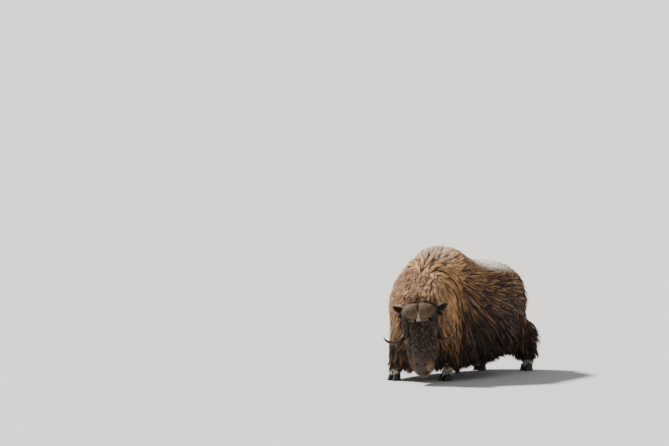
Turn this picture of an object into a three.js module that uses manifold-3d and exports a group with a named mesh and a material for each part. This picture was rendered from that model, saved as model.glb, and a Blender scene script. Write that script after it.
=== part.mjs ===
// A muskox bull at life size, walking with its head low and turned to its left.
// Millimetres, +Z up. The animal faces -Y, its left side is +X, and its hooves stand at z = 0.
import * as THREE from "three";
import { ParametricGeometry } from "three/addons/geometries/ParametricGeometry.js";
import { mergeVertices } from "three/addons/utils/BufferGeometryUtils.js";
import Module from "manifold-3d";

const wasm = await Module();
wasm.setup();

// Driving sizes of the whole animal
const HUMP_HEIGHT = 1250;
const COAT_CORE_DEPTH = 32;
const GAP = 0.35;

// Locks of the coat, at their widest
const FLANK_LOCK = { width: 184, thick: 32, spacing: 176 };
const SKIRT_LOCK = { width: 150, thick: 30, spacing: 142 };
const LEG_LOCK = { length: 190, width: 118, thick: 26 };
const CHEEK_LOCK = { width: 66, thick: 18 };

// Pose of the head: where the middle of the poll is, and how the face turns
const POLL = new THREE.Vector3(165, -515, 693);
const HEAD_TURN = 33;
const HEAD_PITCH = 8;
const HEAD_ROLL = 4.5;
const POLL_BELOW_CROWN = 60;
const POLL_BEHIND_FACE = 60;

// Eyes, ears and horns, in the head's own frame of left, forward and down from the crown
const EYE_RADIUS = 19;
const EYE = { left: 110, forward: 16, down: 316 };
const EAR_LENGTH = 150;
const EAR_HALF_WIDTH = 42;
const HORN_SPREAD = 685;
const BOSS_GROOVE = 14;

// Colours of the finishes
const FINISH = {
  coat_torso: { color: 0x5a3a26, roughness: 0.95 },
  coat_neck: { color: 0xa3744a, roughness: 0.95 },
  coat_head: { color: 0x2a1f19, roughness: 0.95 },
  coat_leg: { color: 0x33231a, roughness: 0.95 },
  horn: { color: 0x6d6048, roughness: 0.55 },
  hoof: { color: 0x1d1a18, roughness: 0.5 },
  eye: { color: 0x1a0f08, roughness: 0.08 },
};

const degrees = THREE.MathUtils.degToRad;
const { lerp, clamp, smoothstep } = THREE.MathUtils;

// Repeatable random numbers from 0 to 1
function seeded(seed) {
  let state = seed;
  return () => {
    state = (state + 0x6d2b79f5) | 0;
    let t = Math.imul(state ^ (state >>> 15), 1 | state);
    t = (t + Math.imul(t ^ (t >>> 7), 61 | t)) ^ t;
    return ((t ^ (t >>> 14)) >>> 0) / 4294967296;
  };
}

// Smooth curve through a table of rows, read at any place along it
function tableReader(rows) {
  return (at, key) => {
    let i = 0;
    while (i < rows.length - 2 && at > rows[i + 1].at) i++;
    const [a, b] = [rows[i], rows[i + 1]];
    const before = rows[Math.max(i - 1, 0)];
    const after = rows[Math.min(i + 2, rows.length - 1)];
    const span = b.at - a.at;
    const slopeA = i > 0 ? (b[key] - before[key]) / (b.at - before.at) : (b[key] - a[key]) / span;
    const slopeB =
      i < rows.length - 2 ? (after[key] - a[key]) / (after.at - a.at) : (b[key] - a[key]) / span;
    const t = clamp((at - a.at) / span, 0, 1);
    const [t2, t3] = [t * t, t * t * t];
    return (
      (2 * t3 - 3 * t2 + 1) * a[key] +
      (t3 - 2 * t2 + t) * slopeA * span +
      (3 * t2 - 2 * t3) * b[key] +
      (t3 - t2) * slopeB * span
    );
  };
}

// Solids

// Turns a closed geometry into a solid, with its shared corners merged and its faces outwards
function toSolid(geometry) {
  geometry.deleteAttribute("normal");
  geometry.deleteAttribute("uv");
  const merged = mergeVertices(geometry, 1e-3);
  const [index, place] = [merged.index.array, merged.attributes.position.array];
  const faces = [];
  let volume = 0;
  const corner = (i) => new THREE.Vector3().fromArray(place, 3 * i);
  for (let i = 0; i < index.length; i += 3) {
    const [a, b, c] = index.slice(i, i + 3);
    if (a === b || b === c || c === a) continue;
    faces.push(a, b, c);
    volume += corner(a).dot(corner(b).cross(corner(c)));
  }
  if (volume < 0) faces.reverse();
  return new wasm.Manifold(
    new wasm.Mesh({ numProp: 3, vertProperties: place, triVerts: new Uint32Array(faces) }),
  );
}

// A closed skin: surface(turn, along) gives its points, and both ends draw in to a point
function closedForm(surface, around, along) {
  const place = (u, v, target) => target.copy(surface(u % 1, v));
  return toSolid(new ParametricGeometry(place, around, along));
}

const join = (...solids) => wasm.Manifold.union(solids.flat());

// The largest closed piece of a solid
function largest(solid) {
  const pieces = solid.decompose();
  return pieces.reduce((a, b) => (a.volume() > b.volume() ? a : b));
}

// The skin of a rounded limb through points, with a half width and a half depth at each
function limbFace(points, widths, depths, grow = 0, blunt = 0.06) {
  const path = new THREE.CatmullRomCurve3(points);
  const read = (values, t) => {
    const place = t * (values.length - 1);
    const i = Math.min(Math.floor(place), values.length - 2);
    return lerp(values[i], values[i + 1], smoothstep(place - i, 0, 1));
  };
  return (turn, along) => {
    const t = clamp(along, 0, 1);
    const tangent = path.getTangent(t);
    const side = new THREE.Vector3(1, 0, 0).addScaledVector(tangent, -tangent.x).normalize();
    const front = new THREE.Vector3().crossVectors(side, tangent);
    const end = Math.min(t, 1 - t) / blunt;
    const close = end < 1 ? Math.sqrt(1 - (1 - end) ** 2) : 1;
    const angle = turn * 2 * Math.PI;
    return path
      .getPoint(t)
      .addScaledVector(side, (read(widths, t) * close + (close && grow)) * Math.cos(angle))
      .addScaledVector(front, (read(depths, t) * close + (close && grow)) * Math.sin(angle));
  };
}

// Trunk: upright sections from the rump to the back of the head.
// at: distance ahead of the hump along the spine. side, ahead and turn: the section's middle and
// how far it faces left. top, wide and half: the coat's ridge, its widest level and half width.
// belly: the underside of the body. hem and hemHalf: the lower edge of the hanging coat.
// slant: how far the section leans forward with height.
const TRUNK = [
  { at: -925, side: 0, ahead: -925, turn: 0, top: 985, wide: 720, half: 285, belly: 500 },
  { at: -830, side: 0, ahead: -830, turn: 0, top: 1022, wide: 725, half: 318, belly: 480 },
  { at: -640, side: 0, ahead: -640, turn: 0, top: 1062, wide: 730, half: 362, belly: 450 },
  { at: -430, side: 0, ahead: -430, turn: 0, top: 1086, wide: 735, half: 392, belly: 430 },
  { at: -220, side: 0, ahead: -220, turn: 0, top: 1140, wide: 745, half: 400, belly: 430 },
  { at: -70, side: 0, ahead: -70, turn: 0, top: 1225, wide: 760, half: 392, belly: 440 },
  { at: 60, side: 0, ahead: 60, turn: 2, top: HUMP_HEIGHT, wide: 765, half: 384, belly: 450 },
  { at: 190, side: 8, ahead: 188, turn: 7, top: 1195, wide: 745, half: 366, belly: 455 },
  { at: 310, side: 34, ahead: 303, turn: 15, top: 1092, wide: 715, half: 342, belly: 465 },
  { at: 410, side: 74, ahead: 394, turn: 24, top: 965, wide: 670, half: 300, belly: 470 },
  { at: 490, side: 116, ahead: 462, turn: 30, top: 848, wide: 640, half: 225, belly: 480 },
];
const HEMS = [
  { at: -925, hem: 335, hemHalf: 255, slant: 0.05 },
  { at: -640, hem: 225, hemHalf: 350, slant: 0.0 },
  { at: -400, hem: 185, hemHalf: 392, slant: 0.0 },
  { at: -180, hem: 150, hemHalf: 400, slant: 0.0 },
  { at: 100, hem: 140, hemHalf: 385, slant: 0.0 },
  { at: 310, hem: 130, hemHalf: 355, slant: 0.06 },
  { at: 410, hem: 95, hemHalf: 335, slant: 0.1 },
  { at: 490, hem: 80, hemHalf: 290, slant: 0.15 },
];
// How far the undercoat fills in from the belly towards the hem
const UNDERCOAT = 0.45;
const REAR_CAP = 90;
const FRONT_CAP = 55;
const SPINE_START = TRUNK[0].at - 10;
const SPINE_END = TRUNK.at(-1).at + 25;
const trunkAt = tableReader(TRUNK);
const hemAt = tableReader(HEMS);

// How far the trunk has closed in towards its two round ends, from 0 to 1
function trunkClose(at) {
  const end = Math.min((at - SPINE_START) / REAR_CAP, (SPINE_END - at) / FRONT_CAP);
  return end < 1 ? Math.sqrt(Math.max(0, 1 - (1 - end) ** 2)) : 1;
}

// A point of the section at a place on the spine, from its sideways and upright measures
function trunkPoint(at, sideways, z) {
  const turn = degrees(trunkAt(at, "turn"));
  const lean = hemAt(at, "slant") * (z - trunkAt(at, "wide"));
  const ahead = trunkAt(at, "ahead") + lean * Math.cos(turn) - sideways * Math.sin(turn);
  const side = trunkAt(at, "side") + lean * Math.sin(turn) + sideways * Math.cos(turn);
  return new THREE.Vector3(side, -ahead, z);
}

// The body under the coat: turn runs round the section from the ridge
function bodySurface(turn, along, grow = 0) {
  const at = lerp(SPINE_START, SPINE_END, (1 - Math.cos(Math.PI * along)) / 2);
  const close = trunkClose(at);
  const inset = COAT_CORE_DEPTH - grow;
  const angle = turn * 2 * Math.PI;
  const [sin, cos] = [Math.sin(angle), Math.cos(angle)];
  const wide = trunkAt(at, "wide");
  const under = lerp(trunkAt(at, "belly"), hemAt(at, "hem"), UNDERCOAT);
  const rise = cos > 0 ? trunkAt(at, "top") - inset - wide : wide - under + grow;
  const half = trunkAt(at, "half") - inset;
  const power = cos > 0 ? 0.92 : 0.72;
  const sideways = half * close * Math.sign(sin) * Math.abs(sin) ** power;
  const z = wide + rise * close * Math.sign(cos) * Math.abs(cos) ** power;
  return trunkPoint(at, sideways, z);
}

const body = (grow = 0) => closedForm((u, v) => bodySurface(u, v, grow), 22, 20);

// Locks

// One flat lock along a path: pointed at its sunk root and at its tip, with its face turned outwards
function lock(path, outward, { width, thick }, grow = 0) {
  const curve = new THREE.CatmullRomCurve3(path);
  const shape = (t) => (t === 0 || t === 1 ? 0 : Math.sin(Math.PI * t ** 0.7) ** 0.75);
  return closedForm(
    (turn, along) => {
      const tangent = curve.getTangent(along);
      const place = along * (outward.length - 1);
      const i = Math.min(Math.floor(place), outward.length - 2);
      const out = outward[i].clone().lerp(outward[i + 1], place - i);
      out.addScaledVector(tangent, -out.dot(tangent)).normalize();
      const side = new THREE.Vector3().crossVectors(tangent, out);
      const angle = turn * 2 * Math.PI;
      const wide = along % 1 ? (width / 2) * shape(along) + grow * 2 : 0;
      const deep = along % 1 ? (thick / 2) * shape(along) + grow * 2 : 0;
      return curve
        .getPoint(along)
        .addScaledVector(side, wide * Math.cos(angle))
        .addScaledVector(out, deep * Math.sin(angle));
    },
    4,
    4,
  );
}

// The outward direction of a surface at a place on it
function outwardOf(surface, u, v, step) {
  const along = surface(u + step.u, v).sub(surface(u - step.u, v));
  const across = surface(u, v + step.v).sub(surface(u, v - step.v));
  return along.cross(across).normalize();
}

// A lock that grows on a surface and follows its lie: sink is how deep the root goes, lift how
// far the tip stands off
function growLock(surface, root, lie, step, size, grow) {
  const [path, outward] = [[], []];
  let { u, v } = root;
  for (let i = 0; i <= LOCK_STEPS; i++) {
    const t = i / LOCK_STEPS;
    const out = outwardOf(surface, u, v, step).multiplyScalar(size.facing ?? 1);
    const rise = lerp(-size.sink, size.lift, Math.sqrt(t));
    path.push(surface(u, v).addScaledVector(out, rise));
    outward.push(out);
    const way = lie(u, v);
    u += (way.u * size.length) / LOCK_STEPS;
    v += (way.v * size.length) / LOCK_STEPS;
  }
  return lock(path, outward, size, grow);
}
const LOCK_STEPS = 4;

// The outer face of the hanging coat: v runs from the ridge of the back at 0 to the hem at 1
function coatFace(at, v, mirror) {
  const close = trunkClose(at);
  const wide = trunkAt(at, "wide");
  const half = trunkAt(at, "half");
  if (v < 0.5) {
    const angle = Math.abs(v) * Math.PI;
    const rise = (trunkAt(at, "top") - wide) * Math.cos(angle) ** 0.92;
    return trunkPoint(at, mirror * half * close * Math.sin(angle) ** 0.92, wide + rise * close);
  }
  const t = 2 * v - 1;
  const out = lerp(half, hemAt(at, "hemHalf"), smoothstep(t, 0, 1));
  return trunkPoint(at, mirror * out * close, lerp(wide, hemAt(at, "hem"), t));
}

// Lie of the coat: it fans out from the point of the shoulder, backwards over the ribs and rump
// and down over the shoulder and neck. Measured as millimetres along the spine and down the side.
const FAN = { at: 190, v: 0.34 };
const COAT_DROP = 1120;
function coatLie(at, v) {
  const behind = FAN.at - at;
  const below = (v - FAN.v) * COAT_DROP;
  const backwards = smoothstep(behind, -90, 160);
  const fan = Math.min(Math.atan2(Math.max(behind, 0) + 60, below), degrees(112));
  let angle = lerp(degrees(8), fan, backwards) * (1 - 0.72 * smoothstep(v, 0.48, 0.9));
  angle = lerp(degrees(90), angle, smoothstep(v, 0, 0.16) * 0.8 + 0.2 * (1 - backwards));
  return { u: -Math.sin(angle), v: Math.cos(angle) / COAT_DROP };
}

// Tiers of locks down each side: where each is rooted and how long and deep its locks are
const TIERS = [
  { v: 0.04, length: 340, sink: 52, lock: FLANK_LOCK },
  { v: 0.2, length: 370, sink: 52, lock: FLANK_LOCK },
  { v: 0.36, length: 400, sink: 54, lock: FLANK_LOCK },
  { v: 0.52, length: 420, sink: 62, lock: FLANK_LOCK },
  { v: 0.66, length: 420, sink: 110, lock: SKIRT_LOCK },
  { v: 0.79, length: 280, sink: 150, lock: SKIRT_LOCK },
];
const LOWEST_TIP = 1.01;
function coatLocks(grow = 0) {
  const random = seeded(11);
  const made = [];
  for (const mirror of [1, -1]) {
    const face = (at, v) => coatFace(clamp(at, SPINE_START + 1, SPINE_END - 1), v, mirror);
    TIERS.forEach((tier, row) => {
      const { spacing, width, thick } = tier.lock;
      const count = Math.floor((SPINE_END - SPINE_START - 40) / spacing);
      for (let i = 0; i < count; i++) {
        const at = SPINE_END - 16 - (i + (row % 2) * 0.5 + 0.3 * (random() - 0.5)) * spacing;
        const v = tier.v + 0.03 * (random() - 0.5);
        const size = {
          length: Math.min(tier.length * (0.88 + 0.24 * random()), (LOWEST_TIP - v) * COAT_DROP),
          width: width * (0.85 + 0.3 * random()),
          thick,
          sink: tier.sink,
          lift: 6 + 10 * random(),
          facing: mirror,
        };
        const root = { u: Math.max(at, SPINE_START + 12), v };
        made.push(growLock(face, root, coatLie, { u: 4, v: 0.004 }, size, grow));
      }
    });
  }
  return made;
}

// The front of the chest and throat, where long hair hangs from side to side
const THROAT = { half: 270, top: 560, bottom: 96, bow: 60 };
const throatFace = (across, down) =>
  trunkPoint(
    SPINE_END - THROAT.bow * across ** 2,
    across * THROAT.half,
    lerp(THROAT.top, THROAT.bottom, down),
  );
function throatLocks(grow = 0) {
  const random = seeded(3);
  return [-0.95, -0.55, -0.15, 0.25].map((across) => {
    const size = { ...SKIRT_LOCK, length: 320 + 50 * random(), sink: 110, lift: 8, facing: -1 };
    const lie = () => ({ u: 0, v: 1 / (THROAT.top - THROAT.bottom) });
    return growLock(throatFace, { u: across, v: 0.2 }, lie, { u: 0.02, v: 0.02 }, size, grow);
  });
}

// The head's own frame
const headFrame = new THREE.Matrix4()
  .makeTranslation(POLL)
  .multiply(new THREE.Matrix4().makeRotationZ(degrees(HEAD_TURN)))
  .multiply(new THREE.Matrix4().makeRotationY(degrees(-HEAD_ROLL)))
  .multiply(new THREE.Matrix4().makeRotationX(degrees(-HEAD_PITCH)));

// A point of the head from its measures to the left, forward of the brow and down from the crown
function headPoint(left, forward, down) {
  const local = new THREE.Vector3(left, -(forward + POLL_BEHIND_FACE), POLL_BELOW_CROWN - down);
  return local.applyMatrix4(headFrame);
}

// The skull with the upper jaw: front and back of each level, and its half width
const FACE = [
  { at: 8, front: 30, back: -92, half: 84 },
  { at: 70, front: 60, back: -150, half: 122 },
  { at: 170, front: 74, back: -190, half: 124 },
  { at: 260, front: 74, back: -200, half: 124 },
  { at: 330, front: 72, back: -180, half: 126 },
  { at: 430, front: 72, back: -130, half: 118 },
  { at: 520, front: 76, back: -80, half: 107 },
  { at: 590, front: 80, back: -48, half: 106 },
  { at: 632, front: 66, back: -30, half: 88 },
];
const JAW = [
  { at: 250, front: -70, back: -222, half: 104 },
  { at: 330, front: -60, back: -232, half: 112 },
  { at: 430, front: -40, back: -190, half: 102 },
  { at: 530, front: -20, back: -140, half: 84 },
  { at: 610, front: -5, back: -104, half: 76 },
  { at: 660, front: 8, back: -82, half: 60 },
];

// The skin of a form down the head that follows one of the tables above; turn starts at the front
const HEAD_SQUARENESS = 0.8;
function headFace(rows, roundEnd, grow = 0) {
  const read = tableReader(rows);
  const [first, last] = [rows[0].at - roundEnd - grow, rows.at(-1).at + roundEnd + grow];
  return (turn, along) => {
    const down = lerp(first, last, (1 - Math.cos(Math.PI * clamp(along, 0, 1))) / 2);
    const end = Math.min(down - first, last - down) / (2 * roundEnd);
    const close = end < 1 ? Math.sqrt(Math.max(0, 1 - (1 - end) ** 2)) : 1;
    const at = clamp(down, rows[0].at, rows.at(-1).at);
    const [front, back] = [read(at, "front") + grow, read(at, "back") - grow];
    const angle = turn * 2 * Math.PI;
    const bow = (x) => close * Math.sign(x) * Math.abs(x) ** HEAD_SQUARENESS;
    const left = (read(at, "half") + grow) * bow(Math.sin(angle));
    return headPoint(left, (front + back) / 2 + ((front - back) / 2) * bow(Math.cos(angle)), down);
  };
}
const skullFace = headFace(FACE, 14);
const jawFace = headFace(JAW, 16);

// A round lump or hollow on the head, from its half sizes to the left, forward and down
function headLump({ left, forward, down }, sizes, detail = [10, 6]) {
  const geometry = new THREE.SphereGeometry(1, ...detail).scale(...sizes);
  const turned = new THREE.Matrix4().extractRotation(headFrame);
  const centre = headPoint(left, forward, down);
  return toSolid(geometry.applyMatrix4(turned).translate(centre.x, centre.y, centre.z));
}

// Lids: a rim round each eye, which faces out to the side of the brow
const EYE_FACING = 58;
function lids(mirror) {
  const rim = new THREE.TorusGeometry(EYE_RADIUS + 2, 8, 5, 9).scale(1.2, 0.84, 1);
  rim.rotateX(degrees(90)).rotateZ(mirror * degrees(EYE_FACING));
  const centre = headPoint(mirror * (EYE.left + 5), EYE.forward + 5, EYE.down);
  const turned = new THREE.Matrix4().extractRotation(headFrame);
  return toSolid(rim.applyMatrix4(turned).translate(centre.x, centre.y, centre.z));
}

// The slit of the mouth, between the lips and back to the corners
const MOUTH = { forward: -26, down: 628, lean: 33, length: 124, width: 250, open: 5 };
function mouthSlit() {
  const slab = new THREE.BoxGeometry(MOUTH.width, MOUTH.open, MOUTH.length);
  slab.rotateX(degrees(MOUTH.lean));
  slab.translate(0, -(MOUTH.forward + POLL_BEHIND_FACE), POLL_BELOW_CROWN - MOUTH.down);
  return toSolid(slab.applyMatrix4(headFrame));
}

const NOSE_PAD = { left: 0, forward: 62, down: 590 };
const NOSTRIL = { left: 40, forward: 82, down: 572 };
const UPPER_LIP = { left: 0, forward: 30, down: 636 };
const LOWER_LIP = { left: 0, forward: -14, down: 664 };
function skull(grow = 0) {
  return [
    closedForm(headFace(FACE, 14, grow), 20, 13),
    closedForm(headFace(JAW, 16, grow), 12, 7),
    headLump(NOSE_PAD, [66 + grow, 26 + grow, 40 + grow]),
    headLump(UPPER_LIP, [84 + grow, 40 + grow, 22 + grow]),
    headLump(LOWER_LIP, [62 + grow, 34 + grow, 22 + grow]),
    lids(1),
    lids(-1),
  ];
}

// Locks of the head: each row has where it grows on the skull or the jaw, and how long it is
const HEAD_LOCKS = [
  { face: skullFace, turns: [0.4, 0.6], along: 0.24, length: 150 },
  { face: skullFace, turns: [0.26, 0.74], along: 0.44, length: 130 },
  { face: jawFace, turns: [0.22, 0.36, 0.64, 0.78], along: 0.3, length: 125 },
  { face: jawFace, turns: [0.24, 0.42, 0.58, 0.76], along: 0.55, length: 100 },
];
function headLocks(grow = 0) {
  const random = seeded(5);
  return HEAD_LOCKS.flatMap(({ face, turns, along, length }) =>
    turns.map((turn) => {
      const size = { length, ...CHEEK_LOCK, sink: 18, lift: 10 + 8 * random(), facing: -1 };
      const lie = (u) => ({ u: (0.5 - u) * 0.0006, v: 1 / 640 });
      const root = { u: turn + 0.02 * (random() - 0.5), v: along };
      return growLock(face, root, lie, { u: 0.01, v: 0.01 }, size, grow);
    }),
  );
}

// Horns: centre line of the left horn and the size of each section, flat over the brow and
// round beside the cheek
const HORN = [
  { left: 6, forward: 62, down: 78, tall: 76, thick: 38 },
  { left: 60, forward: 66, down: 80, tall: 77, thick: 42 },
  { left: 106, forward: 50, down: 92, tall: 66, thick: 46 },
  { left: 136, forward: 8, down: 146, tall: 42, thick: 40 },
  { left: 151, forward: -30, down: 218, tall: 28, thick: 32 },
  { left: 163, forward: -30, down: 290, tall: 24, thick: 27 },
  { left: 196, forward: 14, down: 344, tall: 21, thick: 22 },
  { left: 256, forward: 64, down: 360, tall: 17, thick: 17 },
  { left: 312, forward: 92, down: 338, tall: 11, thick: 11 },
  { left: HORN_SPREAD / 2, forward: 96, down: 300, tall: 3, thick: 3 },
];
function horn(mirror, grow = 0) {
  const path = new THREE.CatmullRomCurve3(
    HORN.map((row) => new THREE.Vector3(row.left, row.forward, row.down)),
  );
  const size = (key, t) => {
    const place = t * (HORN.length - 1);
    const i = Math.min(Math.floor(place), HORN.length - 2);
    return lerp(HORN[i][key], HORN[i + 1][key], place - i) + grow;
  };
  return closedForm(
    (turn, along) => {
      const t = clamp(along, 0, 1);
      const centre = path.getPoint(t);
      const tangent = path.getTangent(t);
      const front = new THREE.Vector3(0.35, 1, 0).addScaledVector(
        tangent,
        -tangent.dot(new THREE.Vector3(0.35, 1, 0)),
      );
      front.normalize();
      const tall = new THREE.Vector3().crossVectors(tangent, front);
      const close = t === 0 || t === 1 ? 0 : 1;
      const angle = turn * 2 * Math.PI;
      centre.addScaledVector(tall, size("tall", t) * close * Math.cos(angle));
      centre.addScaledVector(front, size("thick", t) * close * Math.sin(angle));
      centre.x = Math.max(centre.x, BOSS_GROOVE / 2 - grow);
      return headPoint(mirror * centre.x, centre.y, centre.z);
    },
    12,
    22,
  );
}

// Ears: a leaf with a cup scooped from its face, held out level behind the horns
function ear(mirror, grow = 0) {
  const root = { left: 118, forward: -78, down: 84 };
  const leaf = (scale, thick, shift) =>
    closedForm(
      (turn, along) => {
        const t = clamp(along, 0, 1);
        const wide = EAR_HALF_WIDTH * scale * Math.sin(Math.PI * t ** 0.8) ** 0.8 + (t % 1 && grow);
        const deep = thick * Math.sin(Math.PI * t ** 0.7) ** 0.7 + (t % 1 && grow);
        const angle = turn * 2 * Math.PI;
        return headPoint(
          mirror * (root.left + EAR_LENGTH * (shift + t * scale)),
          root.forward + shift * 90 + deep * Math.sin(angle) + 14 * t,
          root.down - 62 * (shift + t * scale) + wide * Math.cos(angle),
        );
      },
      10,
      7,
    );
  const outer = leaf(1, 17, 0);
  return grow ? outer : outer.subtract(leaf(0.72, 15, 0.16));
}

// Eyes
function ball(centre, radius) {
  const geometry = new THREE.SphereGeometry(radius, 12, 8);
  return toSolid(geometry.applyMatrix4(new THREE.Matrix4().makeTranslation(centre)));
}
const eye = (mirror, grow = 0) =>
  ball(headPoint(mirror * EYE.left, EYE.forward, EYE.down), EYE_RADIUS + grow);

// Legs: the joints of each, from inside the body to the coronet above the hoof
const LEGS = {
  leg_front_left: {
    joints: [
      [165, 40, 640], [178, 25, 500],
      [188, -60, 330], [190, -120, 200],
      [191, -158, 100], [191, -172, 52],
    ],
    widths: [95, 92, 62, 46, 44, 44],
    depths: [120, 100, 72, 50, 46, 52],
    hoof: [191, -176],
  },
  leg_front_right: {
    joints: [
      [-165, 10, 640], [-178, -70, 505],
      [-188, -270, 345], [-190, -385, 205],
      [-191, -452, 105], [-191, -468, 52],
    ],
    widths: [95, 92, 62, 46, 44, 44],
    depths: [120, 100, 72, 50, 46, 52],
    hoof: [-191, -474],
  },
  leg_hind_left: {
    joints: [
      [160, 640, 660], [178, 720, 510],
      [184, 905, 360], [184, 985, 225],
      [182, 1042, 108], [182, 1040, 52],
    ],
    widths: [112, 112, 96, 66, 46, 44],
    depths: [150, 155, 134, 94, 52, 52],
    hoof: [182, 1030],
  },
  leg_hind_right: {
    joints: [
      [-160, 560, 660], [-174, 590, 510],
      [-174, 722, 345], [-173, 752, 215],
      [-172, 768, 108], [-172, 762, 52],
    ],
    widths: [110, 104, 68, 46, 44, 44],
    depths: [150, 130, 86, 52, 46, 52],
    hoof: [-172, 752],
  },
};

const LEG_LOCK_ROWS = {
  leg_front_left: [0.5],
  leg_front_right: [0.5],
  leg_hind_left: [0.38, 0.52, 0.66],
  leg_hind_right: [0.5],
};
const LEG_LOCKS_ROUND = 4;
function leg(name, grow = 0) {
  const { joints, widths, depths } = LEGS[name];
  const points = joints.map((p) => new THREE.Vector3(...p));
  const face = limbFace(points, widths, depths, grow);
  return [closedForm(face, 10, 8), ...legLocks(name, face, grow)];
}

// The long hair of the upper leg, down to the stocking
function legLocks(name, face, grow) {
  const random = seeded(name.length * 7 + name.charCodeAt(5));
  const made = [];
  LEG_LOCK_ROWS[name].forEach((along, row) => {
    for (let i = 0; i < LEG_LOCKS_ROUND; i++) {
      const turn = (i + 0.5 * (row % 2) + 0.3 * random()) / LEG_LOCKS_ROUND;
      const size = { ...LEG_LOCK, length: LEG_LOCK.length * (0.85 + 0.3 * random()) };
      const lie = () => ({ u: 0, v: 1 / 640 });
      const stand = { ...size, sink: 26, lift: 16 + 12 * random(), facing: -1 };
      made.push(growLock(face, { u: turn, v: along }, lie, { u: 0.01, v: 0.01 }, stand, grow));
    }
  });
  return made;
}

// Hooves: two claws on each foot, flat underneath
const CLAW_LENGTH = 112;
const CLAW_HALF_WIDTH = 29;
const CLAW_HEIGHT = 64;
const CLAW_RINGS = 5;
const CLAW_TAPER = 0.22;
function claw(centreX, centreY, side) {
  return closedForm(
    (turn, along) => {
      const z = clamp((along - 1 / CLAW_RINGS) / (1 - 2 / CLAW_RINGS), 0, 1) * CLAW_HEIGHT;
      const close = along === 0 || along === 1 ? 0 : 1;
      const lean = 1 - z / CLAW_HEIGHT;
      const angle = turn * 2 * Math.PI;
      const length = (CLAW_LENGTH / 2) * (0.66 + 0.34 * lean);
      const half = CLAW_HALF_WIDTH * (0.84 + 0.16 * lean);
      const narrow = 1 - CLAW_TAPER * Math.max(0, -Math.sin(angle));
      return new THREE.Vector3(
        centreX + side * (CLAW_HALF_WIDTH + 3) + half * close * narrow * Math.cos(angle),
        centreY - 10 * lean + length * close * Math.sin(angle),
        z,
      );
    },
    10,
    CLAW_RINGS,
  );
}

// Tail: short, lying against the rump under the coat
const TAIL_LOCK = { width: 46, thick: 18 };
function tail(grow = 0) {
  const points = [[0, 880, 850], [0, 946, 800], [0, 968, 700]].map((p) => new THREE.Vector3(...p));
  const face = limbFace(points, [44, 42, 24], [30, 28, 18], grow, 0.15);
  const size = { ...TAIL_LOCK, length: 110, sink: 14, lift: 8, facing: -1 };
  const lie = () => ({ u: 0, v: 1 / 180 });
  const locks = [0.1, 0.9].map((turn) =>
    growLock(face, { u: turn, v: 0.5 }, lie, { u: 0.01, v: 0.01 }, size, grow),
  );
  return [closedForm(face, 8, 6), ...locks];
}

// Nodes

const trunkCut = (() => {
  const slab = new THREE.BoxGeometry(1400, GAP, 2000);
  const turn = new THREE.Matrix4().makeRotationZ(degrees(7));
  return slab.applyMatrix4(turn).translate(0, -165, 700);
})();

const trunk = join(body(), coatLocks(), throatLocks()).subtract(toSolid(trunkCut));
const [rearPiece, frontPiece] = trunk.decompose().sort((a, b) => b.volume() - a.volume());
const nostrils = [1, -1].map((mirror) =>
  headLump({ ...NOSTRIL, left: mirror * NOSTRIL.left }, [15, 20, 11], [8, 6]),
);
const headSolid = join(skull(), headLocks())
  .subtract(join(mouthSlit(), nostrils, eye(1, GAP), eye(-1, GAP)))
  .subtract(join(horn(1, GAP), horn(-1, GAP)).intersect(join(headLocks(GAP))));
const headRoom = join(skull(GAP), headLocks(GAP));
const bodyRoom = join(body(GAP), coatLocks(GAP), throatLocks(GAP));
const nodes = { torso: [rearPiece, "coat_torso"] };
nodes.head = [headSolid, "coat_head"];
for (const [side, mirror] of [["left", 1], ["right", -1]]) {
  nodes[`eye_${side}`] = [eye(mirror), "eye"];
  nodes[`horn_${side}`] = [horn(mirror).subtract(headRoom), "horn"];
  nodes[`ear_${side}`] = [ear(mirror).subtract(join(headRoom, horn(mirror, GAP))), "coat_head"];
}
const headAll = join(headRoom, horn(1, GAP), horn(-1, GAP), ear(1, GAP), ear(-1, GAP));
nodes.neck = [frontPiece.subtract(headAll), "coat_neck"];
for (const name of Object.keys(LEGS)) {
  const [x, y] = LEGS[name].hoof;
  const foot = join(leg(name, GAP));
  nodes[name] = [join(leg(name)).subtract(bodyRoom), "coat_leg"];
  for (const [label, side] of [["inner", -Math.sign(x)], ["outer", Math.sign(x)]]) {
    nodes[`${name.replace("leg", "hoof")}_${label}`] = [claw(x, y, side).subtract(foot), "hoof"];
  }
}
nodes.tail = [join(tail()).subtract(bodyRoom), "coat_torso"];

const muskox = new THREE.Group();
for (const [name, [solid, finish]] of Object.entries(nodes)) {
  const { vertProperties, triVerts } = largest(solid).getMesh();
  const geometry = new THREE.BufferGeometry();
  geometry.setAttribute("position", new THREE.BufferAttribute(new Float32Array(vertProperties), 3));
  geometry.setIndex(new THREE.BufferAttribute(new Uint32Array(triVerts), 1));
  const material = new THREE.MeshStandardMaterial({ ...FINISH[finish], metalness: 0 });
  const mesh = new THREE.Mesh(geometry, material);
  mesh.name = name;
  muskox.add(mesh);
}

// The origin is on the floor, below the middle of the animal
const extent = new THREE.Box3().setFromObject(muskox);
const middle = extent.getCenter(new THREE.Vector3());
muskox.position.set(-middle.x, -middle.y, -extent.min.z);

export default muskox;
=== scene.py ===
"""The looks of a muskox bull: skin, coat, horns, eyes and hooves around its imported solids."""
import math
from functools import partial

import bpy
import numpy as np
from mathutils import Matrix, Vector, kdtree


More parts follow.
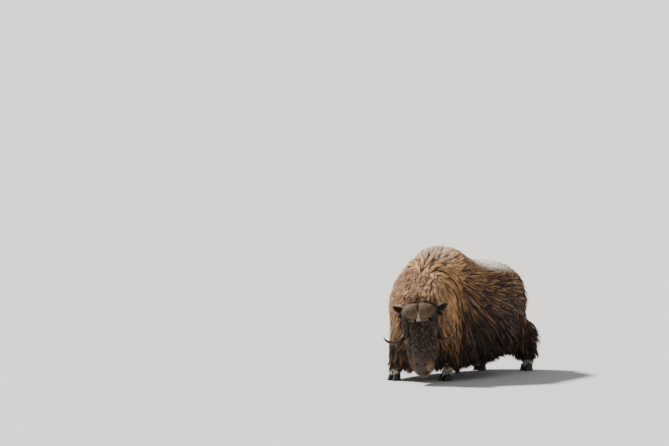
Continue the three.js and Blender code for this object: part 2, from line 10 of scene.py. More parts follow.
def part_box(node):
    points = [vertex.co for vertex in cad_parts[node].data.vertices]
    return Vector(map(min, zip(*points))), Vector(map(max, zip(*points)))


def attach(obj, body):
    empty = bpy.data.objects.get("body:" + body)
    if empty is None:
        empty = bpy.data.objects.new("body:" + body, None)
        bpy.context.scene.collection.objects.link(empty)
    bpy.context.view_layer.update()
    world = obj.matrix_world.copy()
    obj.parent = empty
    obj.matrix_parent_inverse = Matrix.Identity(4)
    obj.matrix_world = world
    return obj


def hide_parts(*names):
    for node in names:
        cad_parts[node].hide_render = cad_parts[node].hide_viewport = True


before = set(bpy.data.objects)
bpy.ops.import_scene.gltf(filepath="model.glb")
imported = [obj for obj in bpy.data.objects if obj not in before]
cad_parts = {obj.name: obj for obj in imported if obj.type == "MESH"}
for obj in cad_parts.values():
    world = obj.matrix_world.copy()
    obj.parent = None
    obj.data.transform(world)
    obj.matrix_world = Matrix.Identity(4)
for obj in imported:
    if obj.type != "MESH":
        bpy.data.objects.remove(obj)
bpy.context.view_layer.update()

bl_info = {
    "name": "Muskox Bull",
    "version": (1, 0, 0),
    "blender": (4, 5, 0),
    "location": "View3D > Sidebar > Muskox",
    "description": "Builds the skin, coat, horns, eyes, hooves and stage of a muskox bull",
    "category": "Add Mesh",
}

# Lengths in the tables are millimetres, measured from the floor below the hump; MM turns them
# to metres and ORIGIN moves them to the model's own origin
MM = 0.001


# Colours


def linear(hex_colour):
    """An sRGB hex colour as linear red, green and blue"""
    channels = [int(hex_colour[i : i + 2], 16) / 255 for i in (1, 3, 5)]
    return tuple(c / 12.92 if c <= 0.04045 else ((c + 0.055) / 1.055) ** 2.4 for c in channels)


# Tables of the form

# The trunk, from the rump to the back of the head: distance ahead of the hump along the spine,
# the section's middle (side, ahead) and turn to the left, the coat's ridge, its widest level, its
# half width and the underside of the body
TRUNK_KEYS = ("at", "side", "ahead", "turn", "top", "wide", "half", "belly")
TRUNK = np.array([
    (-925, 0, -925, 0, 985, 720, 285, 500),
    (-830, 0, -830, 0, 1022, 725, 318, 480),
    (-640, 0, -640, 0, 1062, 730, 362, 450),
    (-430, 0, -430, 0, 1086, 735, 392, 430),
    (-220, 0, -220, 0, 1140, 745, 400, 430),
    (-70, 0, -70, 0, 1225, 760, 392, 440),
    (60, 0, 60, 2, 1250, 765, 384, 450),
    (190, 8, 188, 7, 1195, 745, 366, 455),
    (310, 34, 303, 15, 1092, 715, 342, 465),
    (410, 74, 394, 24, 965, 670, 300, 470),
    (490, 116, 462, 30, 848, 640, 225, 480),
], dtype=float)
# The lower edge of the hanging coat, its half width there, and the lean of the section
HEM_KEYS = ("at", "hem", "hem_half", "slant")
HEMS = np.array([
    (-925, 335, 255, 0.05),
    (-640, 225, 350, 0.0),
    (-400, 185, 392, 0.0),
    (-180, 150, 400, 0.0),
    (100, 140, 385, 0.0),
    (310, 130, 355, 0.06),
    (410, 95, 335, 0.1),
    (490, 80, 290, 0.15),
], dtype=float)
COAT_DEPTH = 32
UNDERCOAT = 0.45
REAR_CAP = 90
FRONT_CAP = 55
SPINE_START = TRUNK[0, 0] - 10
SPINE_END = TRUNK[-1, 0] + 25

# The head's place and turn, in degrees
POLL = np.array((165.0, -515.0, 693.0))
HEAD_TURN, HEAD_ROLL, HEAD_PITCH = 33, 4.5, 8
POLL_BELOW_CROWN = 60
POLL_BEHIND_FACE = 60

# The skull and the jaw: distance down from the crown, front, back and half width
FACE_KEYS = ("at", "front", "back", "half")
FACE = np.array([
    (8, 30, -92, 84),
    (70, 60, -150, 122),
    (170, 74, -190, 124),
    (260, 74, -200, 124),
    (330, 72, -180, 126),
    (430, 72, -130, 118),
    (520, 76, -80, 107),
    (590, 80, -48, 102),
    (632, 64, -30, 80),
], dtype=float)
JAW = np.array([
    (250, -70, -222, 104),
    (330, -60, -232, 112),
    (430, -40, -190, 102),
    (530, -20, -140, 84),
    (610, -5, -104, 76),
    (660, 8, -82, 60),
], dtype=float)
HEAD_SQUARENESS = 0.8
# Half the height of the round ends of the skull and the jaw
FACE_END, JAW_END = 14, 16

EYE = (110, 16, 316)
EYE_RADIUS = 19
EYE_FACING = 58
# Left and down of the nostrils, and down of the line of the mouth
NOSTRIL_LEFT, NOSTRIL_DOWN = 40, 572
MOUTH_DOWN = 642
# The pad of the nose, the upper lip and the lower lip: their middles and half sizes, to the left,
# forward and down
MUZZLE_LUMPS = (
    ((0, 60, 592), (56, 23, 34)), ((0, 30, 634), (68, 38, 19)), ((0, -14, 662), (50, 30, 18)),
)

# The left horn: left, forward and down of its centre line, then its half height and half thickness
HORN = np.array([
    (6, 62, 78, 76, 38),
    (60, 66, 80, 77, 42),
    (106, 50, 92, 66, 46),
    (134, 8, 146, 38, 36),
    (150, -32, 218, 25, 28),
    (162, -32, 290, 22, 24),
    (196, 14, 344, 21, 22),
    (256, 64, 360, 17, 17),
    (312, 92, 338, 11, 11),
    (342.5, 96, 300, 3, 3),
], dtype=float)
BOSS_GROOVE = 14

EAR_ROOT = (118, -78, 84)
EAR_LENGTH = 140
EAR_HALF_WIDTH = 36

# Each leg: its joints from inside the body to the coronet, the half widths and half depths at
# them, and the middle of its hoof
FRONT_WIDTHS, FRONT_DEPTHS = [95, 92, 62, 46, 44, 44], [120, 100, 72, 50, 46, 52]
LEGS = {
    "leg_front_left": (
        [
            (165, 40, 640), (178, 25, 500), (188, -60, 330),
            (190, -120, 200), (191, -158, 100), (191, -172, 52),
        ],
        FRONT_WIDTHS, FRONT_DEPTHS, (191, -176),
    ),
    "leg_front_right": (
        [
            (-165, 10, 640), (-178, -70, 505), (-188, -270, 345),
            (-190, -385, 205), (-191, -452, 105), (-191, -468, 52),
        ],
        FRONT_WIDTHS, FRONT_DEPTHS, (-191, -474),
    ),
    "leg_hind_left": (
        [
            (160, 640, 660), (178, 720, 510), (184, 905, 360),
            (184, 985, 225), (182, 1042, 108), (182, 1040, 52),
        ],
        [112, 112, 96, 66, 46, 44], [150, 155, 134, 94, 52, 52], (182, 1030),
    ),
    "leg_hind_right": (
        [
            (-160, 560, 660), (-174, 590, 510), (-174, 722, 345),
            (-173, 752, 215), (-172, 768, 108), (-172, 762, 52),
        ],
        [110, 104, 68, 46, 44, 44], [150, 130, 86, 52, 46, 52], (-172, 752),
    ),
}
TAIL = [(0, 880, 850), (0, 946, 800), (0, 968, 700)], [44, 42, 24], [30, 28, 18]
CLAW_LENGTH, CLAW_HALF_WIDTH, CLAW_HEIGHT, CLAW_TAPER = 112, 29, 64, 0.22


# Curves and surfaces


def smoothstep(x, low, high):
    t = np.clip((np.asarray(x, dtype=float) - low) / (high - low), 0, 1)
    return t * t * (3 - 2 * t)


def fade(x, low, high):
    return 1 - smoothstep(x, low, high)


def blend(a, b, t):
    return a + (b - a) * t


def unit(v):
    return v / np.maximum(np.linalg.norm(v, axis=-1, keepdims=True), 1e-9)


def columns(*values):
    """Numbers and arrays side by side, as the columns of one array"""
    return np.stack(np.broadcast_arrays(*values), -1)


def circle(turn):
    """Cosine and sine of a turn from 0 to 1"""
    return np.cos(turn * 2 * np.pi), np.sin(turn * 2 * np.pi)


def rounded(end):
    """The width of a round end: 0 at its tip and 1 where it meets the form"""
    return np.where(end < 1, np.sqrt(np.clip(1 - (1 - end) ** 2, 0, 1)), 1)


def bowed(x, power):
    """A cosine or sine made squarer by a power below 1"""
    return np.sign(x) * np.abs(x) ** power


def read(table, keys, key, at):
    """Smooth curve through one column of a table, read at each place in at"""
    places, values = table[:, 0], table[:, keys.index(key)]
    at = np.asarray(at, dtype=float)
    last = len(places) - 2
    i = np.clip(np.searchsorted(places, at, side="left") - 1, 0, last)
    a, b = values[i], values[i + 1]
    span = places[i + 1] - places[i]
    before, after = np.maximum(i - 1, 0), np.minimum(i + 2, last + 1)
    slope_a = (b - values[before]) / (places[i + 1] - places[before])
    slope_b = (values[after] - a) / (places[after] - places[i])
    t = np.clip((at - places[i]) / span, 0, 1)
    t2, t3 = t * t, t * t * t
    return (
        (2 * t3 - 3 * t2 + 1) * a
        + (t3 - 2 * t2 + t) * slope_a * span
        + (3 * t2 - 2 * t3) * b
        + (t3 - t2) * slope_b * span
    )


def trunk_at(at, key):
    return read(TRUNK, TRUNK_KEYS, key, at)


def hem_at(at, key):
    return read(HEMS, HEM_KEYS, key, at)


def smooth_path(points, t):
    """Place and direction on a smooth curve through points, for each t from 0 to 1"""
    points = np.asarray(points, dtype=float)
    points = np.vstack([2 * points[0] - points[1], points, 2 * points[-1] - points[-2]])
    place = np.clip(t, 0, 1) * (len(points) - 3)
    i = np.minimum(place.astype(int), len(points) - 4)
    f = (place - i)[..., None]
    p0, p1, p2, p3 = (points[i + k] for k in range(4))
    line, bend, twist = p2 - p0, 2 * p0 - 5 * p1 + 4 * p2 - p3, 3 * p1 - p0 - 3 * p2 + p3
    where = 0.5 * (2 * p1 + line * f + bend * f**2 + twist * f**3)
    return where, unit(line + 2 * bend * f + 3 * twist * f**2)


def trunk_close(at):
    """How far the trunk has closed in towards its two round ends, from 0 to 1"""
    return rounded(np.minimum((at - SPINE_START) / REAR_CAP, (SPINE_END - at) / FRONT_CAP))


def trunk_point(at, sideways, z):
    """A point of the trunk from its place on the spine, how far left it is, and its height"""
    turn = np.radians(trunk_at(at, "turn"))
    lean = hem_at(at, "slant") * (z - trunk_at(at, "wide"))
    ahead = trunk_at(at, "ahead") + lean * np.cos(turn) - sideways * np.sin(turn)
    side = trunk_at(at, "side") + lean * np.sin(turn) + sideways * np.cos(turn)
    return columns(side, -ahead, z)


def under_at(at):
    """The lower side of the undercoat"""
    return blend(trunk_at(at, "belly"), hem_at(at, "hem"), UNDERCOAT)


# How square the trunk's section is above and below its widest level
UPPER_POWER, LOWER_POWER = 0.92, 0.72


def body_face(turn, along):
    """The body under the coat"""
    at = blend(SPINE_START, SPINE_END, (1 - np.cos(np.pi * along)) / 2)
    close, wide = trunk_close(at), trunk_at(at, "wide")
    up, sideways = circle(turn)
    rise = np.where(up > 0, trunk_at(at, "top") - COAT_DEPTH - wide, wide - under_at(at))
    power = np.where(up > 0, UPPER_POWER, LOWER_POWER)
    half = trunk_at(at, "half") - COAT_DEPTH
    z = wide + rise * close * bowed(up, power)
    return trunk_point(at, half * close * bowed(sideways, power), z)


def coat_face(at, v, mirror):
    """The outer face of the hanging coat: v runs from the ridge at 0 to the hem at 1"""
    at = np.clip(at, SPINE_START + 1, SPINE_END - 1)
    close, wide, half = trunk_close(at), trunk_at(at, "wide"), trunk_at(at, "half")
    angle = np.clip(np.abs(v), 0, 0.5) * np.pi
    top = wide + (trunk_at(at, "top") - wide) * np.maximum(np.cos(angle), 0) ** UPPER_POWER * close
    t = 2 * v - 1
    low = blend(wide, hem_at(at, "hem"), t)
    out_top = half * np.sin(angle) ** UPPER_POWER
    out_low = blend(half, hem_at(at, "hem_half"), smoothstep(t, 0, 1))
    upper = v < 0.5
    sideways = mirror * close * np.where(upper, out_top, out_low)
    return trunk_point(at, sideways, np.where(upper, top, low))


# How far the hanging coat can stand off the skin, and how far its roots lie below the skin
DEEPEST_COAT, ROOT_DEPTH = 170, 8


def coat_sink(at, v):
    """How deep below the coat's outer face the hair is rooted"""
    wide, half = trunk_at(at, "wide"), trunk_at(at, "half")
    z = blend(wide, hem_at(at, "hem"), 2 * v - 1)
    down = np.clip((wide - z) / (wide - under_at(at)), 0, 1)
    core = np.sqrt(np.clip(1 - down ** (2 / LOWER_POWER), 0, 1)) ** LOWER_POWER
    hanging = np.clip(half - (half - COAT_DEPTH) * core, COAT_DEPTH, DEEPEST_COAT)
    return np.where(v < 0.5, COAT_DEPTH, hanging) + ROOT_DEPTH


# The coat's lie fans out from the point of the shoulder, but not past FAN_WIDEST degrees from
# straight down, and turns down again over the rump
FAN_AT, FAN_V, FAN_WIDEST = 190, 0.34, 112
LIE_AHEAD, LIE_ON_RIDGE = 8, 90
RUMP_START, RUMP_END = 800, 900
COAT_DROP = 1120


def coat_lie(at, v):
    """The way the coat lies, as millimetres along the spine and parts of the way down the side"""
    behind = FAN_AT - at
    below = (v - FAN_V) * COAT_DROP
    backwards = smoothstep(behind, -90, 160) * fade(-at, RUMP_START, RUMP_END)
    fan = np.minimum(np.arctan2(np.maximum(behind, 0) + 60, below), np.radians(FAN_WIDEST))
    angle = blend(np.radians(LIE_AHEAD), fan, backwards) * (1 - 0.72 * smoothstep(v, 0.48, 0.9))
    off_ridge = smoothstep(v, 0, 0.16) * 0.8 + 0.2 * (1 - backwards)
    angle = blend(np.radians(LIE_ON_RIDGE), angle, off_ridge)
    return -np.sin(angle), np.cos(angle) / COAT_DROP


THROAT_HALF, THROAT_TOP, THROAT_BOTTOM, THROAT_BOW = 270, 560, 96, 60


def throat_face(across, down):
    """The front of the chest, where long hair hangs from side to side"""
    at = SPINE_END - THROAT_BOW * across**2
    return trunk_point(at, across * THROAT_HALF, blend(THROAT_TOP, THROAT_BOTTOM, down))


def turn_about(axis, degrees):
    c, s = math.cos(math.radians(degrees)), math.sin(math.radians(degrees))
    turned = np.eye(3)
    a, b = [(1, 2), (2, 0), (0, 1)][axis]
    turned[a, a], turned[a, b], turned[b, a], turned[b, b] = c, -s, s, c
    return turned


HEAD_AXES = turn_about(2, HEAD_TURN) @ turn_about(1, -HEAD_ROLL) @ turn_about(0, -HEAD_PITCH)


def head_point(left, forward, down):
    """A point of the head from its measures to the left, forward of the brow and down"""
    left, forward, down = np.broadcast_arrays(left, forward, down)
    local = np.stack([left, -(forward + POLL_BEHIND_FACE), POLL_BELOW_CROWN - down], axis=-1)
    return local @ HEAD_AXES.T + POLL


def head_place(points):
    """The opposite of head_point: left, forward and down of points"""
    local = (points - POLL) @ HEAD_AXES
    return local[..., 0], -local[..., 1] - POLL_BEHIND_FACE, POLL_BELOW_CROWN - local[..., 2]


def head_way(left, forward, down):
    """A direction given to the left, forward and down in the head's frame"""
    return columns(left, -np.asarray(forward), -np.asarray(down)) @ HEAD_AXES.T


def head_face(rows, round_end):
    """The skin of a form down the head that follows a table; turn starts at the front"""
    first, last = rows[0, 0] - round_end, rows[-1, 0] + round_end

    def face(turn, along):
        down = blend(first, last, (1 - np.cos(np.pi * along)) / 2)
        close = rounded(np.minimum(down - first, last - down) / (2 * round_end))
        at = np.clip(down, rows[0, 0], rows[-1, 0])
        front, back, half = (read(rows, FACE_KEYS, k, at) for k in ("front", "back", "half"))
        ahead, sideways = (close * bowed(x, HEAD_SQUARENESS) for x in circle(turn))
        return head_point(half * sideways, (front + back) / 2 + (front - back) / 2 * ahead, down)

    return face


LIMB_END = 0.06


def limb_face(points, widths, depths):
    """The skin of a rounded limb"""

    def sizes(values, t):
        place = np.clip(t, 0, 1) * (len(values) - 1)
        i = np.minimum(place.astype(int), len(values) - 2)
        values = np.asarray(values, dtype=float)
        return blend(values[i], values[i + 1], smoothstep(place - i, 0, 1))

    def face(turn, along):
        centre, tangent = smooth_path(points, along)
        side = unit(np.array((1.0, 0, 0)) - tangent * tangent[..., :1])
        front = np.cross(side, tangent)
        close = rounded(np.minimum(along, 1 - along) / LIMB_END)
        cos, sin = circle(turn)
        wide, deep = sizes(widths, along) * close * cos, sizes(depths, along) * close * sin
        return centre + side * wide[..., None] + front * deep[..., None]

    return face


def lump_face(place, sizes):
    """A round lump on the head, from its half sizes to the left, forward and down"""

    def face(turn, along):
        ring, (cos, sin) = np.sin(np.pi * along), circle(turn)
        left, forward = place[0] + sizes[0] * ring * cos, place[1] + sizes[1] * ring * sin
        return head_point(left, forward, place[2] - sizes[2] * np.cos(np.pi * along))

    return face


# How deep the ear's hollow is, how thick the ear, and how far its tip comes forward and drops
EAR_HOLLOW, EAR_THICKNESS, EAR_FORWARD, EAR_DROP = 15, 9, 14, 62


def ear_face(mirror):
    """A leaf with a hollow face, held out behind the horns"""

    def face(turn, along):
        wide = EAR_HALF_WIDTH * np.clip(np.sin(np.pi * along**0.8), 0, 1) ** 0.6
        across, front = circle(turn)
        cup = EAR_HOLLOW * np.sin(np.pi * np.clip(along, 0, 1) ** 0.7) * (1 - across**2)
        back = -cup * 0.9 - EAR_THICKNESS * np.abs(front) - cup * 0.5
        deep = np.where(front > 0, -cup * 0.9, back) + EAR_THICKNESS
        return head_point(
            mirror * (EAR_ROOT[0] + EAR_LENGTH * along),
            EAR_ROOT[1] + deep + EAR_FORWARD * along,
            EAR_ROOT[2] - EAR_DROP * along + wide * across,
        )

    return face


def horn_face(mirror):
    """The horn from its boss to its tip; the groove between the bosses opens downwards"""

    def face(turn, along):
        row, way = smooth_path(HORN, along)
        centre, tangent = row[..., :3], unit(way[..., :3])
        lean = np.array((0.35, 1.0, 0.0))
        front = unit(lean - tangent * (tangent @ lean)[..., None])
        tall = np.cross(tangent, front)
        close = np.where((along <= 0) | (along >= 1), 0.0, 1.0)
        cos, sin = circle(turn)
        centre = centre + tall * (row[..., 3] * close * cos)[..., None]
        centre = centre + front * (row[..., 4] * close * sin)[..., None]
        left, forward, down = (centre[..., k] for k in range(3))
        groove = BOSS_GROOVE / 2 + 9 * smoothstep(down, 80, 150)
        return head_point(mirror * np.maximum(left, groove), forward, down)

    return face


def claw_face(x, y, side):
    """One claw of a hoof, flat underneath"""

    def face(turn, along):
        z = np.clip((along - 0.1) / 0.8, 0, 1) * CLAW_HEIGHT
        close = np.clip(np.minimum(along, 1 - along) / 0.1, 0, 1)
        lean = 1 - z / CLAW_HEIGHT
        cos, sin = circle(turn)
        length = CLAW_LENGTH / 2 * (0.66 + 0.34 * lean) * close
        narrow = 1 - CLAW_TAPER * np.maximum(0, -sin)
        half = CLAW_HALF_WIDTH * (0.84 + 0.16 * lean) * close * narrow
        across = x + side * (CLAW_HALF_WIDTH + 3) + half * cos
        return columns(across, y - 10 * lean + length * sin, z)

    return face


def node_middle(name):
    low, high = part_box(name)
    return (np.array(low) + np.array(high)) / 2


# The solids' eye tells where the tables' origin lies in the model
ORIGIN = node_middle("eye_left") / MM - head_point(*EYE)


# Meshes


def closed_grid(face, around, along):
    """Points and faces of a closed surface drawn in at both ends"""
    turn, v = np.meshgrid(np.arange(around) / around, np.arange(1, along) / along)
    rings = face(turn.ravel(), v.ravel())
    ends = face(np.zeros(2), np.array((0.0, 1.0)))
    points = np.vstack([ends[:1], rings, ends[1:]])
    faces, last = [], len(points) - 1
    for j in range(around):
        k = (j + 1) % around
        faces.append((0, 1 + k, 1 + j))
        for i in range(along - 2):
            a, b = 1 + i * around, 1 + (i + 1) * around
            faces.append((a + j, a + k, b + k, b + j))
        a = 1 + (along - 2) * around
        faces.append((a + j, a + k, last))
    turned = sum(
        np.dot(points[f[0]], np.cross(points[f[1]], points[f[2]]))
        + (np.dot(points[f[0]], np.cross(points[f[2]], points[f[3]])) if len(f) == 4 else 0)
        for f in faces
    )
    if turned < 0:
        faces = [f[::-1] for f in faces]
    return points, faces


def linked(mesh):
    """A mesh's object, in the scene"""
    piece = bpy.data.objects.new(mesh.name, mesh)
    bpy.context.scene.collection.objects.link(piece)
    return piece


def new_object(name, points, faces):
    """A smooth mesh object of points in table millimetres"""
    mesh = bpy.data.meshes.new(name)
    mesh.from_pydata((points + ORIGIN) * MM, [], faces)
    mesh.shade_smooth()
    return linked(mesh)


def together(meshes):
    """The points and faces of several meshes in one"""
    points, faces, start = [], [], 0
    for p, f in meshes:
        points.append(p)
        faces += [tuple(i + start for i in corners) for corners in f]
        start += len(p)
    return np.vstack(points), faces


def joined(forms):
    """The points and faces of several closed surfaces together"""
    return together(closed_grid(*form) for form in forms)


def taken(items, name, width, kind=float):
    """One property of all of a mesh's points, corners or triangles, in rows"""
    values = np.empty(len(items) * width, dtype=kind)
    items.foreach_get(name, values)
    return values.reshape(-1, width)


def fused(forms, voxel, smoothing):
    """Several overlapping closed surfaces run together into one smooth skin"""
    source = new_object("forms", *joined(forms))
    remesh = source.modifiers.new("run together", "REMESH")
    remesh.mode, remesh.voxel_size = "VOXEL", voxel
    smooth = source.modifiers.new("smooth", "SMOOTH")
    smooth.factor, smooth.iterations = 0.5, smoothing
    result = source.evaluated_get(bpy.context.evaluated_depsgraph_get()).to_mesh()
    points = taken(result.vertices, "co", 3)
    faces = [tuple(p.vertices) for p in result.polygons]
    bpy.data.objects.remove(source, do_unlink=True)
    return points / MM - ORIGIN, faces


def set_values(mesh, name, values):
    """Keeps a colour of numbers at each point of a mesh"""
    layer = mesh.attributes.new(name, "FLOAT_COLOR", "POINT")
    full = np.ones((len(values), 4), dtype=np.float32)
    full[:, : values.shape[1]] = values
    layer.data.foreach_set("color", full.ravel())


def set_uv(mesh, name, uv):
    """Gives each corner of a mesh the place of its point on a map"""
    uv = uv[taken(mesh.loops, "vertex_index", 1, np.int32)[:, 0]]
    mesh.uv_layers.new(name=name).data.foreach_set("uv", uv.astype(np.float32).ravel())


# Materials


def set_node(node, inputs):
    """Gives a node its settings, its inputs' values and the sockets linked to them"""
    for key, value in inputs.items():
        if isinstance(key, str) and hasattr(node, key):
            setattr(node, key, value)
        elif isinstance(value, bpy.types.NodeSocket):
            node.id_data.links.new(value, node.inputs[key])
        else:
            node.inputs[key].default_value = value
    return node


def add_node(tree, kind, inputs=None):
    """Adds a shader node with its settings, values and links"""
    return set_node(tree.nodes.new(f"ShaderNode{kind}"), inputs or {})


def new_material(name):
    """A material with a plain shader; returns it, what adds nodes to it, and the shader"""
    material = bpy.data.materials.new(name)
    material.use_nodes = True
    tree = material.node_tree
    return material, partial(add_node, tree), tree.nodes["Principled BSDF"]


def set_ramp(node, stops):
    """Puts colours at places on a ramp"""
    for place, _ in stops[1:-1]:
        node.color_ramp.elements.new(place)
    for stop, (place, colour) in zip(node.color_ramp.elements, stops):
        stop.position, stop.color = place, (*colour, 1)


def parts_of(node, name):
    """The numbers kept at a mesh's points as a colour"""
    values = node("Attribute", {"attribute_name": name})
    return node("SeparateColor", {0: values.outputs["Color"]}).outputs


# How much the strands differ in warmth, and the painted shade darkening them towards their roots
# and lightening their tips, as a factor and what is added
STRAND_WARMTH = (0.95, -0.28)
PAINTED_ROOT_SHADE = (0.9, 0.28)


def marked_colour(node, coat):
    """The coat's colour from its markings: how warm it is, then how pale"""
    marking, own = parts_of(node, "marking"), parts_of(node, "strand")
    factor, added = STRAND_WARMTH
    spread = node("Math", {"operation": "MULTIPLY_ADD", 0: own[0], 1: factor, 2: added})
    warm = node(
        "Math", {"operation": "ADD", "use_clamp": True, 0: marking[0], 1: spread.outputs[0]}
    )
    ramp = node("ValToRGB", {0: warm.outputs[0]})
    set_ramp(ramp, [(0.0, coat.dark), (0.32, coat.brown), (0.68, coat.tan), (1.0, coat.gold)])
    mixed = node(
        "Mix", {"data_type": "RGBA", 0: marking[1], 6: ramp.outputs[0], 7: (*coat.cream, 1)}
    )
    return mixed.outputs[2], own[1]


MULTIPLY = {"data_type": "RGBA", "blend_type": "MULTIPLY", 0: 1.0}


def coat_material(coat):
    """Dry guard hair and wool: matt, with painted shade darkening it towards its roots and a
    slightly lightened tip, and a slight sheen along each lock
    """
    material, node, shader = new_material("Dry guard hair over wool")
    colour, along = marked_colour(node, coat)
    factor, added = PAINTED_ROOT_SHADE
    # Painted shade: each tuft's colour is scaled from 0.28 at its root to 1.18 at its tip
    tip = node("Math", {"operation": "MULTIPLY_ADD", 0: along, 1: factor, 2: added})
    shaded = node("Mix", {**MULTIPLY, 6: colour, 7: tip.outputs[0]})
    set_node(
        shader, {"Base Color": shaded.outputs[2], "Roughness": 0.62, "Specular IOR Level": 0.35}
    )
    return material


def skin_material(coat):
    """Woolly underfur close to the skin, darkened as painted shade between the tufts, and the bare
    damp pad of the nose and lips, with painted shade in its pores, nostrils and mouth line
    """
    material, node, shader = new_material("Underfur and bare muzzle skin")
    colour, _ = marked_colour(node, coat)
    # Painted shade: the underfur is darkened to 0.3 of the coat's colour, so the skin seen between
    # the tufts reads as shadow
    under = node("Mix", {**MULTIPLY, 6: colour, 7: (0.3, 0.3, 0.3, 1)})
    bare = parts_of(node, "bare")
    where = node("TexCoord")
    # Pores and wrinkles of the nose pad, about 6 mm apart; the pad is painted darker where they
    # sink, as painted shade
    grain = node(
        "TexNoise", {"Scale": 160.0, "Detail": 4.0, "Vector": where.outputs["Object"]}
    ).outputs["Fac"]
    deep, ridge, slit_shade = ((*linear(c), 1) for c in ("#1B1513", "#52433A", "#120C0B"))
    muzzle = node("Mix", {"data_type": "RGBA", 0: grain, 6: deep, 7: ridge})
    pad = node("Mix", {"data_type": "RGBA", 0: bare[0], 6: under.outputs[2], 7: muzzle.outputs[2]})
    # Painted shade: the nostrils and the line of the mouth are darkened nearly to black
    dark = node("Mix", {"data_type": "RGBA", 0: bare[1], 6: pad.outputs[2], 7: slit_shade})
    bump = node("Bump", {"Strength": 0.5, "Distance": 0.002, "Height": grain})
    set_node(shader, {
        "Base Color": dark.outputs[2], "Normal": bump.outputs[0], "Roughness": 0.6,
        "Specular IOR Level": 0.22,
    })
    return material


# Places along the horn and the colours there, after the boss
# The near black from 0.29 to 0.6, where the horn runs down the side of the face below the boss, is
# painted shade
HORN_COLOURS = (
    (0.29, "#120D09"), (0.6, "#1F1711"), (0.78, "#4E3829"), (0.92, "#291C14"), (1.0, "#120E0B"),
)


def horn_material(parts):
    """Horn: coarse and fibrous on the boss, worn smooth and darker towards the tip"""
    material, node, shader = new_material("Weathered horn")
    place = node("UVMap", {"uv_map": "along"}).outputs[0]
    along = node("SeparateXYZ", {0: place}).outputs[1]
    ramp = node("ValToRGB", {0: along})
    boss = [(0.0, parts.boss), (0.21, parts.boss)]
    set_ramp(ramp, boss + [(at, linear(colour)) for at, colour in HORN_COLOURS])
    # Fibres stand upright on the boss, about 8 mm apart, and run along the rest of the horn
    upright = node("Mapping", {"Scale": (3.0, 90.0, 1.0), "Vector": place})
    lengthwise = node("Mapping", {"Scale": (60.0, 7.0, 1.0), "Vector": place})
    past_boss = node("MapRange", {"From Min": 0.2, "From Max": 0.28, "Value": along})
    stretch = node("Mix", {
        "data_type": "VECTOR", 0: past_boss.outputs[0], 4: upright.outputs[0],
        5: lengthwise.outputs[0],
    })
    fibre = node(
        "TexNoise", {"Scale": 1.0, "Detail": 6.0, "Roughness": 0.65, "Vector": stretch.outputs[1]}
    ).outputs["Fac"]
    streak = node(
        "MapRange",
        {"From Min": 0.35, "From Max": 0.65, "To Min": 0.22, "To Max": 1.6, "Value": fibre},
    )
    colour = node("Mix", {**MULTIPLY, 6: ramp.outputs[0], 7: streak.outputs[0]})
    bump = node("Bump", {"Strength": 0.7, "Distance": 0.003, "Height": fibre})
    rough = node(
        "MapRange",
        {"From Min": 0.25, "From Max": 0.6, "To Min": 0.75, "To Max": 0.32, "Value": along},
    )
    set_node(shader, {
        "Base Color": colour.outputs[2], "Normal": bump.outputs[0],
        "Roughness": rough.outputs[0], "Specular IOR Level": 0.3,
    })
    return material


def hoof_material(parts):
    """Hoof horn: dull and near black, with growth lines about 5 mm apart"""
    material, node, shader = new_material("Hoof horn")
    where = node("TexCoord").outputs["Object"]
    rings = node(
        "TexWave", {"bands_direction": "Z", "Scale": 62.0, "Distortion": 1.5, "Vector": where}
    ).outputs["Fac"]
    bump = node("Bump", {"Strength": 0.4, "Distance": 0.001, "Height": rings})
    set_node(shader, {"Normal": bump.outputs[0], "Base Color": (*parts.hoof, 1), "Roughness": 0.5})
    return material


def eye_material(parts):
    """A wet dark brown eye: almost black, with a sharp glint"""
    material, _, shader = new_material("Wet eye")
    set_node(shader, {"Base Color": (*parts.eye, 1), "Roughness": 0.12, "IOR": 1.38})
    return material


# Markings


def trunk_marking(at, v):
    """How warm and how pale the coat is, by its place on the trunk"""
    shoulder = np.interp(v, (0, 0.12, 0.24, 0.36, 0.5, 0.7), (1.0, 0.95, 0.8, 0.5, 0.18, 0.02))
    flank = np.interp(v, (0, 0.1, 0.2, 0.3, 0.44, 0.7), (0.95, 0.88, 0.76, 0.52, 0.3, 0.03))
    mane = np.interp(v, (0, 0.2, 0.45, 0.56, 0.64, 0.74), (1.0, 0.94, 0.8, 0.46, 0.12, 0.0))
    warm = blend(flank, shoulder, smoothstep(at, -200, 60))
    mane_edge = 300 + 450 * np.maximum(v - 0.45, 0)
    warm = blend(warm, mane, smoothstep(at - mane_edge, -45, 45))
    saddle = 0.3 + 0.7 * smoothstep(at, -700, -500)
    saddle = saddle * fade(at - 600 * v, -150, -60)
    pale = saddle * fade(v, 0.17, 0.28) * 0.98
    # Cream along the ridge of the hump: partly its pale hair, partly a painted highlight of light
    # on its top
    pale_and_lit_crest = smoothstep(at, -200, 40) * fade(at, 150, 290)
    pale_and_lit_crest = pale_and_lit_crest * fade(v, 0.04, 0.2) * 0.42
    return warm, np.maximum(pale, pale_and_lit_crest)


def low_marking(points):
    """Dark upper legs and whitish stockings, the tallest on the left foreleg"""
    z = points[:, 2]
    tall = 70 * (points[:, 0] > 0) * (points[:, 1] < 300)
    return 0.1 + 0 * z, 0.85 * fade(z - tall, 125, 160)


def head_marking(left, forward, down):
    """A near-black face, greyer towards the mouth and browner on the left of the muzzle"""
    front = smoothstep(forward, -40, 40)
    warm = 0.08 + 0.16 * smoothstep(down, 420, 580) * front + 0.06 * (1 - front)
    warm = warm + 0.36 * smoothstep(left, 0, 70) * smoothstep(down, 530, 590)
    pale = 0.06 * front * smoothstep(down, 330, 560) + 0.16 * smoothstep(down, 600, 640)
    return warm, pale


